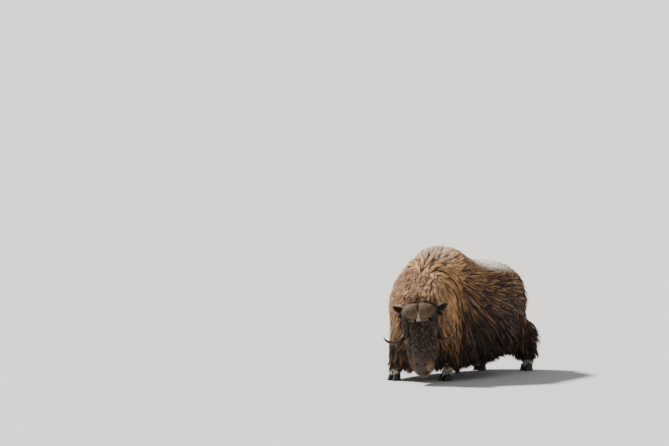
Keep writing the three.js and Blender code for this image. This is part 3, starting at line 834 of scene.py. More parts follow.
def muzzle_pad(left, forward, down):
    """How bare the skin is: the pad round the nostrils and the two lips"""
    aside = np.abs(left)
    pad = smoothstep(down - 0.006 * left**2, 562, 574) * fade(aside, 40, 54)
    lips = smoothstep(down, 628, 636) * fade(aside, 62, 74)
    shown = np.maximum(pad * (forward > 30), lips * (forward > -10))
    return shown * fade(down, 676, 686)


# The coat

STEPS = 8
# Where along a tuft its rings are, by their number
RINGS = {2: (0.0, 0.5), 3: (0.0, 0.34, 0.7), 4: (0.0, 0.26, 0.54, 0.8)}
MOST_TRIANGLES = 180000
# Each coat: the tufts that grow round a guide, the rings of each tuft, and the slot
COATS = {
    "coat_left": (10, 4, "coat_torso"),
    "coat_right": (10, 4, "coat_torso"),
    "coat_throat": (12, 4, "coat_neck"),
    "coat_nape": (7, 3, "coat_neck"),
    "coat_rump": (5, 3, "coat_torso"),
    "coat_legs": (3, 3, "coat_leg"),
    "coat_face": (4, 2, "coat_head"),
    "coat_ears": (4, 2, "coat_head"),
    "coat_poll": (4, 2, "coat_head"),
    "coat_cheeks": (5, 3, "coat_head"),
    "coat_crown": (4, 3, "coat_head"),
}


def clumps(path, out, marking, uv, spread, width, wave):
    """Guides for clumps of hair: centre lines, outward directions, and seven numbers for each:
    how warm and how pale it is, its place on the map, and its tufts' spread, width and wave"""
    numbers = (*marking, *uv, spread, width, wave)
    return path, out, columns(*(np.broadcast_to(n, len(path)) for n in numbers))


def some_of(guides, keep):
    return tuple(rows[keep] for rows in guides)


# How soon hair rises from its root to the face of the coat, as a power
RISE_POWER = 0.42


def outward(face, u, v, step, facing):
    """The direction out of a surface, from points a step to each side"""
    across = face(u + step[0], v) - face(u - step[0], v)
    down = face(u, v + step[1]) - face(u, v - step[1])
    return unit(np.cross(across, down)) * facing


def grow(face, u, v, lie, length, sink, lift, step, facing):
    """Paths that start on the skin, rise to the face of the coat and follow its lie"""
    path, out = [], []
    for i in range(STEPS):
        t = i / (STEPS - 1)
        away = outward(face, u, v, step, facing)
        rise = blend(-sink, lift, t**RISE_POWER)
        path.append(face(u, v) + away * rise[:, None])
        out.append(away)
        du, dv = lie(u, v)
        u, v = u + du * length / (STEPS - 1), v + dv * length / (STEPS - 1)
    return np.stack(path, 1), np.stack(out, 1)


# How far down the side the last row of clumps starts, as a part of the coat's drop
LAST_ROW = 0.93
# More clumps where the coat parts at the shoulder, and over the pale back
PARTING_CLUMPS, BACK_CLUMPS = 260, 380
SADDLE_LENGTH = 90
# Notches in the hem, so that the near foreleg's stocking shows: their middle, their width, and
# their height as a part of the coat's drop, and the length of the shortest hair at the hem
FLANK_NOTCH, THROAT_NOTCH = (500, 40, 0.13), (0.88, 0.15, 0.24)
SHORTEST = 20


def notched(place, notch):
    """How far a notch raises the hem at a place"""
    middle, wide, high = notch
    return high * np.exp(-(((place - middle) / wide) ** 2))


def trunk_guides(mirror, _mesh, coat, rng):
    """Clumps over one side of the trunk"""
    across, down = coat.clump_spacing / MM, coat.clump_spacing / MM * 1.35
    rows, along = int(COAT_DROP * LAST_ROW / down), int((SPINE_END - SPINE_START) / across)
    at, v = np.meshgrid(
        np.linspace(SPINE_START + 4, SPINE_END - 4, along), np.linspace(0, LAST_ROW, rows)
    )
    at = (at + (np.arange(rows)[:, None] % 2) * across / 2).ravel()
    v = v.ravel()
    at = np.clip(at + rng.uniform(-0.5, 0.5, at.size) * across, SPINE_START + 2, SPINE_END - 2)
    v = np.clip(v + rng.uniform(-0.5, 0.5, v.size) * down / COAT_DROP, 0.004, 0.94)
    parting, back = PARTING_CLUMPS, BACK_CLUMPS
    at = np.concatenate([at, rng.normal(110, 80, parting), rng.uniform(-760, 240, back)])
    v = np.concatenate([v, rng.uniform(0.12, 0.5, parting), rng.uniform(0.004, 0.3, back)])
    levels = (0, 0.12, 0.3, 0.5, 0.66, 0.8, 0.93)
    length = np.interp(v, levels, (120, 160, 230, 300, 380, 340, 240))
    saddle = fade(v, 0.1, 0.2) * fade(at, -240, -80)
    length = blend(length, SADDLE_LENGTH, saddle) * rng.uniform(0.8, 1.2, v.size)
    notch = notched(at, FLANK_NOTCH) if mirror > 0 else 0.0
    to_hem = np.maximum(np.minimum(length, (1.025 - notch - v) * COAT_DROP), SHORTEST)
    length = np.where(v > 0.5, to_hem, length)
    lift = rng.uniform(-4, 16, v.size) + 8 * saddle
    place = (at - SPINE_START) / (SPINE_END - SPINE_START)
    return clumps(
        *grow(
            lambda u, w: coat_face(u, w, mirror), at, v, coat_lie, length, coat_sink(at, v), lift,
            (4, 0.004), mirror,
        ),
        trunk_marking(at, v), (place * 0.48 + 0.01, v * 0.48 + (0.01 if mirror > 0 else 0.51)),
        spread=across * 0.62, width=blend(11.0, 14.0, smoothstep(v, 0.2, 0.7)),
        wave=blend(4.0, 9.0, smoothstep(v, 0.15, 0.6)),
    )


THROAT_ROWS = 9


def throat_guides(_mesh, coat, rng):
    """Clumps of the curtain of hair across the throat"""
    spacing = coat.clump_spacing / MM
    across, down = np.meshgrid(
        np.linspace(-1.0, 0.9, int(THROAT_HALF * 1.9 / spacing)), np.linspace(0.0, 0.8, THROAT_ROWS)
    )
    across = across.ravel() + rng.uniform(-0.5, 0.5, across.size) * spacing / THROAT_HALF
    down = np.clip(down.ravel() + rng.uniform(-0.05, 0.05, down.size), 0, 0.85)
    drop = THROAT_TOP - THROAT_BOTTOM
    to_hem = (1.03 - notched(across, THROAT_NOTCH) - down) * drop
    length = np.minimum(rng.uniform(220, 330, down.size), to_hem)
    return clumps(
        *grow(
            throat_face, across, down, lambda u, v: (0 * u, 0 * v + 1 / drop),
            np.maximum(length, SHORTEST), 60 + 60 * down, rng.uniform(-6, 12, down.size),
            (0.02, 0.02), -1,
        ),
        (0.16 * (1 - down), 0), (0.5 + (across + 1) * 0.08, 0.02 + down * 0.2),
        spread=22.0, width=14.5, wave=8.0,
    )


# The numbers kept at the skin's points that say which part of it they belong to
BODY, HEAD, EARS = 0, 1, 2


def skin_samples(mesh, number, chosen, spacing, rng):
    """Random places and directions on the chosen triangles of one part of the skin"""
    mesh.calc_loop_triangles()
    corners = taken(mesh.loop_triangles, "vertices", 3, np.int32)
    points = taken(mesh.vertices, "co", 3) / MM - ORIGIN
    normals = taken(mesh.vertex_normals, "vector", 3)
    part = taken(mesh.attributes["part"].data, "value", 1)[:, 0]
    corners = corners[chosen(points[corners].mean(1)) & (part[corners[:, 0]] == number)]
    a, b, c = (points[corners[:, k]] for k in range(3))
    area = np.linalg.norm(np.cross(b - a, c - a), axis=1) / 2
    count = int(area.sum() / spacing**2)
    picked = corners[rng.choice(len(corners), count, p=area / area.sum())]
    w = rng.dirichlet((1, 1, 1), count)
    root, normal = (
        sum(values[picked[:, k]] * w[:, k : k + 1] for k in range(3))
        for values in (points, normals)
    )
    return root, unit(normal)


# How deep in the skin laid hair is rooted, and how near the floor it may come
LAID_DEPTH, LOWEST_HAIR = 3, 5.0


def lay(root, normal, way, length, lift, droop):
    """Paths that leave the skin and lie along it in the given way"""
    way = unit(way - normal * (way * normal).sum(-1, keepdims=True))
    lift, droop = (np.broadcast_to(x, len(root))[:, None, None] for x in (lift, droop))
    t = np.linspace(0, 1, STEPS)[None, :, None]
    reach = length[:, None, None] * t
    path = root[:, None] + way[:, None] * reach
    path = path + normal[:, None] * (-LAID_DEPTH + (lift + LAID_DEPTH) * np.sqrt(t))
    path = path - np.array((0, 0, 1.0)) * (droop * reach * t)
    path[..., 2] = np.maximum(path[..., 2], LOWEST_HAIR)
    return path, np.repeat(normal[:, None], STEPS, 1)


NAPE_SPACING, RUMP_SPACING, EAR_SPACING = 19, 18, 6.5


def nape_guides(mesh, _coat, rng):
    """Clumps of the front of the neck, behind the boss and round the sides of the head"""
    root, normal = skin_samples(
        mesh, BODY, lambda middle: (middle[:, 1] < -300) & (middle[:, 2] > 380), NAPE_SPACING, rng
    )
    left, z = (root - POLL) @ HEAD_AXES[:, 0], root[:, 2]
    way = columns(0 * left, -0.3, -1) + HEAD_AXES[:, 0] * (left / 260)[:, None]
    low = smoothstep(-z, -760, -480)
    length = blend(105, 190, low) * rng.uniform(0.8, 1.2, left.size)
    return clumps(
        *lay(root, normal, way, length, rng.uniform(26, 46, left.size), 0.15),
        (np.interp(z, (380, 450, 520, 760), (0.05, 0.16, 0.5, 0.84)), 0.06 * (1 - low)),
        (0.5 + (left + 400) / 800 * 0.2, 0.8 + z / 1300 * 0.18),
        spread=17.0, width=8.5, wave=6.0,
    )


def rump_guides(mesh, _coat, rng):
    """Clumps that hang down the back of the rump, on both sides of the tail"""
    root, normal = skin_samples(
        mesh, BODY,
        lambda middle: (middle[:, 1] > rng.uniform(800, 920, len(middle))) & (middle[:, 2] > 430),
        RUMP_SPACING, rng,
    )
    side, z = root[:, 0], root[:, 2]
    length = rng.uniform(110, 180, z.size)
    return clumps(
        *lay(root, normal, columns(side / 500, 0.1, -1), length, rng.uniform(20, 34, z.size), 0.1),
        (np.interp(z, (430, 600, 800, 950), (0.05, 0.2, 0.5, 0.75)), 0.3 * smoothstep(z, 860, 980)),
        (0.52 + (side + 400) / 800 * 0.2, 0.56 + z / 1300 * 0.18),
        spread=16.0, width=9.5, wave=6.0,
    )


def leg_guides(mesh, coat, rng):
    """Clumps of the legs, belly and tail"""

    def low_on_body(middle):
        behind, z = middle[:, 1], middle[:, 2]
        return (z < 400) | ((behind > 700) & (z < 640)) | ((behind > 938) & (z > 640))

    root, normal = skin_samples(mesh, BODY, low_on_body, coat.leg_spacing / MM, rng)
    z = root[:, 2]
    length = np.interp(z, (50, 90, 140, 220, 400), (34, 44, 60, 140, 190))
    length = length * rng.uniform(0.8, 1.2, z.size)
    # The hair ends above the claws, so that the hooves show
    length = np.minimum(length, np.where(z > 140, (z - 92) * 0.95, np.maximum(z - 14, 12)))
    way = columns(0 * z, 0.08 + 0.26 * smoothstep(root[:, 1], 780, 900), -1)
    lift = np.interp(z, (60, 130, 200, 300), (4, 12, 42, 48)) * rng.uniform(0.5, 1.3, z.size)
    (warm, pale), high, long = low_marking(root), smoothstep(z, 420, 700), smoothstep(z, 60, 160)
    turn = np.arctan2(root[:, 0], root[:, 1] - 300) / (2 * np.pi) + 0.5
    return clumps(
        *lay(root, normal, way, length, lift, 0.12),
        (blend(warm, 0.36, high), blend(pale, 0, high)),
        (0.72 + 0.26 * turn, 0.02 + z / 1000 * 0.45),
        spread=blend(7.0, 14.0, long), width=blend(6.5, 13.0, long), wave=blend(0.5, 5.0, long),
    )


# The front of the eye, ahead of its middle, and how far hair keeps off it and off its lids
EYE_FRONT, EYE_CLEAR, LID_CLEAR = 16, 25, 29


def clear_of_eyes(guides):
    """The guides that leave both eyes and their lids free"""
    out = math.radians(EYE_FACING)
    left, forward = EYE[0] + EYE_FRONT * math.sin(out), EYE[1] + EYE_FRONT * math.cos(out)
    near = [
        np.linalg.norm(guides[0] - head_point(mirror * left, forward, EYE[2]), axis=-1).min(1)
        for mirror in (1, -1)
    ]
    return some_of(guides, np.minimum(*near) > EYE_CLEAR)


def face_guides(mesh, coat, rng):
    """The short hair of the face, longer on the cheeks and chin and shortest on the muzzle"""

    def haired(middle):
        left, forward, down = head_place(middle)
        side = np.abs(left) - EYE[0]
        eye = side**2 + (forward - EYE[1]) ** 2 + ((down - EYE[2]) * 1.25) ** 2 < LID_CLEAR**2
        boss = (forward > -10) & (down < 148) & (np.abs(left) < 150)
        return (muzzle_pad(left, forward, down) <= 0.5) & ~eye & ~boss

    root, normal = skin_samples(mesh, HEAD, haired, coat.head_spacing / MM, rng)
    left, forward, down = head_place(root)
    aside = np.abs(left)
    front, brow = smoothstep(forward, -10, 50), 1 - smoothstep(down, 170, 300)
    muzzle = smoothstep(down, 430, 560)
    length = blend(blend(92, 36, muzzle), blend(28, 12, muzzle), front)
    length = blend(length, 46, brow * front)
    chin = smoothstep(-forward, 60, 150) * smoothstep(down, 300, 420)
    length = blend(length, 110, chin) * rng.uniform(0.75, 1.25, down.size)
    reach = np.sqrt((aside - EYE[0]) ** 2 + (forward - EYE[1]) ** 2 + (down - EYE[2]) ** 2)
    length = length * (0.2 + 0.8 * smoothstep(reach, 28, 90))
    side = smoothstep(aside, 84, 116) * (1 - muzzle) * smoothstep(down, 130, 175)
    longest = np.maximum(length, 72 * side * smoothstep(reach, 28, 60))
    length = np.where(forward > -20, longest, length)
    flare = np.sign(left) * (1 - muzzle) * np.maximum(blend(0.9, 0.2, front), 1.05 * side)
    lift = length * rng.uniform(0.12, 0.3, down.size)
    warm, pale = head_marking(left, forward, down)
    grey = rng.uniform(0, 1, down.size) ** 3 * 0.2
    turn = np.arctan2(left, forward + 50) / (2 * np.pi) + 0.5
    return clear_of_eyes(clumps(
        *lay(root, normal, head_way(flare, -0.25, 1.0), length, lift, 0.2 * chin),
        (warm, np.maximum(pale, grey * (1 - 0.7 * brow))),
        (0.5 + 0.2 * turn, 0.26 + down / 700 * 0.22),
        spread=np.clip(length * 0.2, 6, 12), width=np.clip(length * 0.11, 2.6, 6.4),
        wave=length * 0.05,
    ))


def ear_guides(mesh, _coat, rng):
    """The hair of the ears, longest on their rims, with a painted highlight on their upper rims and
    painted shade in their hollows
    """
    root, normal = skin_samples(mesh, EARS, lambda middle: True, EAR_SPACING, rng)
    left, _, down = head_place(root)
    mirror = np.sign(left)
    outwards = (np.abs(left) - EAR_ROOT[0]) / EAR_LENGTH
    across = (down - (EAR_ROOT[2] - EAR_DROP * outwards)) / EAR_HALF_WIDTH
    rim = smoothstep(np.abs(across), 0.55, 0.95)
    # Painted highlight: only the upper rim of each ear is pale
    lit_upper_rim = (rim > 0.4) & (across < 0)
    length = blend(18, 42, rim) * rng.uniform(0.7, 1.3, down.size)
    inner = (normal * head_way(0 * left, 1.0, 0.0)).sum(-1) > 0.2
    return clumps(
        *lay(root, normal, head_way(mirror, 0.15, -0.4 + 0.7 * across * rim), length,
             length * 0.25, 0),
        # Painted shade darkens the hair in the hollow of the ear
        (np.where(inner & (rim < 0.5), 0.06, 0.55), np.where(lit_upper_rim, 0.42, 0.02)),
        (0.52 + 0.1 * outwards + 0.1 * (mirror > 0), 0.49 + 0.02 * across),
        spread=4.0, width=3.5, wave=length * 0.05,
    )


CHEEK_CLUMPS, CROWN_CLUMPS, GROOVE_CLUMPS, EDGE_CLUMPS = 620, 600, 300, 70
CROWN_HALF = 175


def cheek_guides(_mesh, _coat, rng):
    """Dark hair that falls from the temples over the sides of the horns"""
    count = CHEEK_CLUMPS
    mirror, down = rng.choice((-1, 1), count), rng.uniform(140, 300, count)
    start_left = rng.uniform(92, 116, count)
    start_forward = np.interp(down, (140, 220, 300), (40, 30, 34))
    reach, fall = rng.uniform(0.3, 1.0, count), rng.uniform(70, 105, count)
    end = down + fall
    end_left = blend(118, np.interp(end, (200, 300, 400), (180, 174, 138)), reach)
    end_forward = np.interp(end, (200, 260, 320, 400), (14, 8, 22, 24)) + 8
    t = np.linspace(0, 1, STEPS)[None, :]
    left = blend(start_left[:, None], end_left[:, None], t**0.7)
    forward = blend(start_forward[:, None], end_forward[:, None], t) + 16 * np.sin(np.pi * t)
    path = head_point(mirror[:, None] * left, forward, down[:, None] + fall[:, None] * t)
    return clear_of_eyes(clumps(
        path, np.broadcast_to(head_way(0.0, 1.0, 0.0), path.shape),
        (rng.uniform(0.02, 0.14, count), rng.uniform(0, 1, count) ** 4 * 0.15),
        (0.74 + mirror * 0.02, 0.5 + down / 1000),
        spread=9.0, width=5.5, wave=3.0,
    ))


def crown_guides(_mesh, _coat, rng):
    """The dark wool behind the boss, from ear to ear"""
    count = CROWN_CLUMPS
    left = rng.uniform(-CROWN_HALF, CROWN_HALF, count)
    arch = (left / CROWN_HALF) ** 2
    height = rng.uniform(-4, 34, count) * (1 - 0.4 * arch)
    forward = rng.uniform(-70, 4, count) - 40 * arch
    root = head_point(left, forward, 4 + 92 * arch - height + 26)
    normal = np.tile(head_way(0.0, 0.6, -0.8), (count, 1))
    way = head_way(left / 110, 1.0, 0.1 + 0.5 * arch)
    length = rng.uniform(40, 74, count)
    return clumps(
        *lay(root, normal, way, length, rng.uniform(22, 40, count), 0.25),
        (rng.uniform(0.02, 0.2, count), 0), (0.8 + left / 4000, 0.6 + height / 1000),
        spread=9.0, width=7.5, wave=3.0,
    )


def groove_guides(_mesh, _coat, rng):
    """Pale hair in the groove of the boss and along its lower edge"""
    count = GROOVE_CLUMPS
    edge = np.arange(count) < EDGE_CLUMPS
    down = np.where(edge, rng.uniform(150, 162, count), 160 * rng.uniform(0, 1, count) ** 0.6)
    wide = 3 + 11 * smoothstep(down, 60, 130)
    left = np.where(edge, rng.uniform(-95, 95, count), rng.uniform(-1, 1, count) * wide)
    forward = np.interp(down, (-6, 30, 80, 140, 165), (20, 62, 88, 86, 76)) - 6 * edge
    normal = np.tile(head_way(0.0, 1.0, 0.0), (count, 1))
    way = head_way(rng.uniform(-0.6, 0.6, count), 0.0, 1.0)
    length = rng.uniform(12, 30, count)
    pale = rng.uniform(0.1, 0.75, count) * smoothstep(down, 20, 90)
    return clumps(
        *lay(head_point(left, forward, down), normal, way, length, length * 0.15, 0),
        (np.where(edge, 0.45, 0.6), np.where(edge, 0.25, pale)),
        (0.7 + left / 1000, 0.3 + down / 1000),
        spread=3.5, width=2.6, wave=2.0,
    )


# How far a clump's tufts draw together at the tip, how deep it is for its spread, and how flat
# each tuft is
GATHER, CLUMP_DEPTH, FLATNESS = 0.55, 0.42, 0.45
# How much darker than an even draw the tufts are, as a power, and a tuft's patch on the map
SHADE_POWER, PATCH = 2.6, 0.003


def make_tufts(guides, children, rings, rng):
    """Closed, flat, three-sided tufts round each guide, drawn together towards its tip"""
    rings = np.array(RINGS[rings])
    path, out, numbers = some_of(guides, np.repeat(np.arange(len(guides[0])), children))
    count = len(path)
    marking, uv = numbers[:, None, :2], numbers[:, None, 2:4]
    spread, width, wave = (numbers[:, k : k + 1] for k in (4, 5, 6))

    def drawn(low, high):
        return rng.uniform(low, high, count)[:, None]

    start, end = drawn(0, 0.16), drawn(0.8, 1.0)
    t = np.append(rings, 1.0)[None]
    place = (start + (end - start) * t) * (STEPS - 1)
    i = np.minimum(place.astype(int), STEPS - 2)
    f, rows = (place - i)[..., None], np.arange(count)[:, None]
    centre = blend(path[rows, i], path[rows, i + 1], f)
    out = unit(blend(out[rows, i], out[rows, i + 1], f))
    tangent = np.gradient(centre, axis=1)
    side = unit(np.cross(tangent, out))
    out = unit(np.cross(side, tangent))
    a = drawn(-1, 1) * spread * (1 - GATHER * t**1.3)
    b = drawn(-0.35, 0.6) * spread * CLUMP_DEPTH * t
    turns, phase = drawn(0.7, 1.6), drawn(0, 2 * np.pi)
    a = a + wave * np.sin(turns * t * 2 * np.pi + phase) * t
    centre = centre + side * a[..., None] + out * b[..., None]
    wide = width * drawn(0.6, 1.25)
    swell = (0.5 + 0.5 * np.sin(np.pi * np.clip(t, 0, 1) ** 0.8)) * (1 - t) ** 0.35
    wide = (wide * swell / 2)[..., None]
    corners = []
    for angle in (90, 210, 330):
        c, s = math.cos(math.radians(angle)), math.sin(math.radians(angle))
        corners.append((centre + side * wide * c + out * wide * FLATNESS * s)[:, :-1])
    body = np.stack(corners, 2).reshape(count, -1, 3)
    points = np.concatenate([body, centre[:, -1:]], 1)
    along = np.append(np.repeat(rings, 3), 1.0)[None].repeat(count, 0)
    patch = columns(np.append(np.tile((0, 0.5, 1.0), len(rings)), 0.5), along[0]) * PATCH
    shade = drawn(0, 1) ** SHADE_POWER
    marking = np.repeat(marking, along.shape[1], 1)
    return points, columns(shade, along), marking, uv + patch[None]


def tuft_faces(rings):
    """The triangles of one tuft of some rings and a tip"""
    faces, last = [(0, 2, 1)], 3 * rings - 3
    for ring in range(rings - 1):
        a, b = 3 * ring, 3 * ring + 3
        for j in range(3):
            k = (j + 1) % 3
            faces += [(a + j, a + k, b + k), (a + j, b + k, b + j)]
    faces += [(last + j, last + (j + 1) % 3, last + 3) for j in range(3)]
    return np.array(faces)


def grow_coats(context, seed, makers):
    """Grows coats on the skin in order, each over the guides that its maker gives"""
    coat, mesh = context.scene.muskox_coat, bpy.data.objects["skin"].data
    rng, material = np.random.default_rng(seed), coat_material(coat)
    for name, maker in makers.items():
        coat_pieces(name, maker(mesh, coat, rng), material, rng)


def finish(piece, material, slot, *nodes):
    piece.data.materials.append(material)
    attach(piece, "root")
    if nodes:
        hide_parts(*nodes)


def coat_pieces(name, guides, material, rng):
    """Joins the tufts of some guides into pieces of a size that exports whole"""
    children, rings, slot = COATS[name]
    tuft = tuft_faces(rings)
    parts = math.ceil(len(guides[0]) * children * len(tuft) / MOST_TRIANGLES)
    order = np.argsort(guides[0][:, 0, 1])
    for number, keep in enumerate(np.array_split(order, parts)):
        points, strand, marking, uv = make_tufts(some_of(guides, keep), children, rings, rng)
        count, corners = points.shape[:2]
        faces = (tuft[None] + (np.arange(count) * corners)[:, None, None]).reshape(-1, 3)
        flat = points.reshape(-1, 3)
        mesh = bpy.data.meshes.new(f"{name}_{number + 1}")
        mesh.vertices.add(len(flat))
        mesh.vertices.foreach_set("co", ((flat + ORIGIN) * MM).astype(np.float32).ravel())
        mesh.loops.add(faces.size)
        mesh.loops.foreach_set("vertex_index", faces.astype(np.int32).ravel())
        mesh.polygons.add(len(faces))
        mesh.polygons.foreach_set("loop_start", np.arange(0, faces.size, 3, dtype=np.int32))
        mesh.update(calc_edges=True)
        mesh.shade_smooth()
        set_values(mesh, "marking", marking.reshape(-1, 2))
        set_values(mesh, "strand", strand.reshape(-1, 2))
        set_uv(mesh, "OFBake", uv.reshape(-1, 2))
        finish(linked(mesh), material, slot)


# Points around and along each closed surface
GRIDS = {
    "body": (96, 110), "leg": (32, 40), "tail": (24, 24), "skull": (72, 64), "jaw": (48, 36),
    "lump": (32, 20), "lid": (16, 48), "ear": (32, 24), "eye": (32, 20), "claw": (28, 20),
}
# The skin: sizes of the remeshing's cells in metres, and rounds of smoothing
BODY_VOXEL, BODY_SMOOTHING = 0.0105, 4
HEAD_VOXEL, HEAD_SMOOTHING = 0.0045, 5
HORN_AROUND, HORN_ALONG = 56, 110
# Seeds of the random draws
TRUNK_SEED, LEG_SEED, HEAD_SEED = 7, 8, 9
# The places along and down the coat whose markings the skin takes over
MARKED_AT, MARKED_V = 60, 40


# The half thickness of the lids, how far they stand out, and how much wider than high they are
LID_THICKNESS, LID_STAND = (7, 8), 5
LID_WIDE, LID_HIGH = 1.2, 0.8


def lid_face(mirror):
    """The upper and lower lids, a rim round the eye"""
    out, aside = math.sin(math.radians(EYE_FACING)), math.cos(math.radians(EYE_FACING))

    def face(turn, along):
        ring, (cos, sin) = along * 2 * np.pi, circle(turn)
        reach = EYE_RADIUS + 2 + LID_THICKNESS[0] * cos
        across, up = reach * LID_WIDE * np.cos(ring), reach * LID_HIGH * np.sin(ring)
        stand = LID_STAND + LID_THICKNESS[1] * sin
        left = EYE[0] + stand * out + across * aside
        return head_point(mirror * left, EYE[1] + stand * aside - across * out, EYE[2] - up)

    return face


def carved(points):
    """Presses the nostrils, mouth line and folds of the nose into the head, and marks the nostrils
    and the mouth line for painted shade
    """
    left, forward, down = head_place(points)
    beside = np.abs(left) - NOSTRIL_LEFT
    slope = down - NOSTRIL_DOWN + 0.35 * beside
    nostril = np.exp(-((beside / 17) ** 2 + (slope / 9) ** 2) * 1.3) * (forward > 50)
    line = MOUTH_DOWN + 0.42 * (forward - 30) - 0.0012 * left**2
    mouth = np.exp(-(((down - line) / 4.5) ** 2)) * (forward > -95) * (down > 560)
    cavity_shade = np.clip(nostril * 1.3 + mouth, 0, 1)
    fold = 2.2 * np.sin(down / 7.0) * smoothstep(down, 470, 500) * fade(down, 545, 570)
    inwards = head_way(-0.3 * np.sign(left), -1.0, 0.0)
    points = points + inwards * (14 * nostril + 9 * mouth + fold * (forward > 40))[:, None]
    return points, cavity_shade, muzzle_pad(left, forward, down)


def skin_markings(body, head, ears):
    """The coat's markings, carried on by the skin below it"""
    at, v = (x.ravel() for x in np.meshgrid(
        np.linspace(SPINE_START, SPINE_END, MARKED_AT), np.linspace(0, 1, MARKED_V), indexing="ij"
    ))
    near = kdtree.KDTree(2 * len(at))
    for k, mirror in enumerate((1, -1)):
        for i, p in enumerate(coat_face(at, v, mirror)):
            near.insert(p, k * len(at) + i)
    near.balance()
    found = np.array([near.find(p)[1] for p in body]) % len(at)
    low = 1 - smoothstep(body[:, 2], 200, 330)
    pairs = zip(trunk_marking(at[found], v[found]), low_marking(body))
    trunk = columns(*(blend(high, foot, low) for high, foot in pairs))
    return np.vstack([
        trunk, columns(*head_marking(*head_place(head))), np.tile((0.12, 0.05), (len(ears), 1))
    ])


# Settings


def length_property(name, description, default):
    return bpy.props.FloatProperty(
        name=name, description=description, default=default, unit="LENGTH", min=0.0
    )


def colour_property(name, description, hex_colour):
    return bpy.props.FloatVectorProperty(
        name=name, description=description, default=linear(hex_colour), subtype="COLOR", size=3,
        min=0.0, max=1.0,
    )


class MUSKOX_PG_coat(bpy.types.PropertyGroup):
    clump_spacing: length_property("Clump Spacing", "Distance between clumps on the trunk", 0.034)
    head_spacing: length_property(
        "Head Clump Spacing", "Distance between clumps on the head", 0.0105
    )
    leg_spacing: length_property("Leg Clump Spacing", "Distance between clumps on the legs", 0.019)
    dark: colour_property("Dark", "Skirt and face", "#0C0706")
    brown: colour_property("Brown", "Flanks", "#382215")
    tan: colour_property("Tan", "Shoulders and rump", "#9C6A44")
    gold: colour_property("Gold", "Neck and hump", "#E2B682")
    cream: colour_property("Cream", "Saddle and stockings", "#FFF6EA")


class MUSKOX_PG_parts(bpy.types.PropertyGroup):
    boss: colour_property("Boss", "Rough base of the horns", "#54412C")
    hoof: colour_property("Hoof", "Hoof horn", "#1B1816")
    eye: colour_property("Eye", "Iris and pupil", "#160C07")


class MUSKOX_PG_stage(bpy.types.PropertyGroup):
    floor: colour_property("Floor", "Colour of the floor", "#C9C7C2")
    distance: length_property("Camera Distance", "From the camera to the hump", 45.0)
    frame_width: length_property("Frame Width", "Width of the picture at the animal", 6.3555)
    key: bpy.props.FloatProperty(
        name="Key Light", description="Strength of the main light", default=9.0
    )


# Operators


class MUSKOX_OT_skin(bpy.types.Operator):
    """Build the skin under the coat, with the face, lids, lips and ears"""

    bl_idname = "muskox.skin"
    bl_label = "Skin"

    def execute(self, context):
        limbs = [(limb_face(*leg[:3]), *GRIDS["leg"]) for leg in LEGS.values()]
        tail = (limb_face(*TAIL), *GRIDS["tail"])
        forms = [(body_face, *GRIDS["body"]), *limbs, tail]
        body, body_faces = fused(forms, BODY_VOXEL, BODY_SMOOTHING)
        forms = [
            (head_face(FACE, FACE_END), *GRIDS["skull"]), (head_face(JAW, JAW_END), *GRIDS["jaw"])
        ]
        forms += [(lump_face(*lump), *GRIDS["lump"]) for lump in MUZZLE_LUMPS]
        forms += [(lid_face(mirror), *GRIDS["lid"]) for mirror in (1, -1)]
        head, head_faces = fused(forms, HEAD_VOXEL, HEAD_SMOOTHING)
        head, cavity_shade, bare = carved(head)
        ears, ear_faces = joined([(ear_face(mirror), *GRIDS["ear"]) for mirror in (1, -1)])
        parts = [(body, body_faces), (head, head_faces), (ears, ear_faces)]
        points, faces = together(parts)
        piece = new_object("skin", points, faces)
        mesh = piece.data
        set_values(mesh, "marking", skin_markings(body, head, ears))
        set_values(mesh, "strand", np.full((len(points), 2), 0.5))
        naked = np.zeros((len(points), 2))
        # The bare pad, and where painted shade darkens the nostrils and the mouth line
        naked[len(body) : len(body) + len(head)] = columns(bare, cavity_shade)
        set_values(mesh, "bare", naked)
        part = np.repeat((BODY, HEAD, EARS), [len(p) for p, _ in parts]).astype(np.float32)
        mesh.attributes.new("part", "FLOAT", "POINT").data.foreach_set("value", part)
        finish(
            piece, skin_material(context.scene.muskox_coat), "coat_torso",
            "torso", "neck", "head", "tail", "ear_left", "ear_right", *LEGS,
        )
        return {"FINISHED"}


class MUSKOX_OT_eyes(bpy.types.Operator):
    """Build both eyes"""

    bl_idname = "muskox.eyes"
    bl_label = "Eyes"

    def execute(self, context):
        material = eye_material(context.scene.muskox_parts)
        for side, mirror in (("left", 1), ("right", -1)):
            ball = lump_face((mirror * EYE[0], EYE[1], EYE[2]), (EYE_RADIUS,) * 3)
            piece = new_object(f"eyeball_{side}", *closed_grid(ball, *GRIDS["eye"]))
            finish(piece, material, "eye", f"eye_{side}")
        return {"FINISHED"}


class MUSKOX_OT_horns(bpy.types.Operator):
    """Build both horns with their boss"""

    bl_idname = "muskox.horns"
    bl_label = "Horns"

    def execute(self, context):
        material = horn_material(context.scene.muskox_parts)
        for side, mirror in (("left", 1), ("right", -1)):
            points, faces = closed_grid(horn_face(mirror), HORN_AROUND, HORN_ALONG)
            piece = new_object(f"horn_sheath_{side}", points, faces)
            ring = np.tile(np.arange(HORN_AROUND) / HORN_AROUND, HORN_ALONG - 1)
            reach = np.repeat(np.arange(1, HORN_ALONG) / HORN_ALONG, HORN_AROUND)
            ring, reach = np.hstack([0, ring, 0]), np.hstack([0, reach, 1])
            # The map folds back half way round, so that no seam shows
            set_uv(piece.data, "along", columns(np.abs(ring * 2 - 1), reach))
            finish(piece, material, "horn", f"horn_{side}")
        return {"FINISHED"}


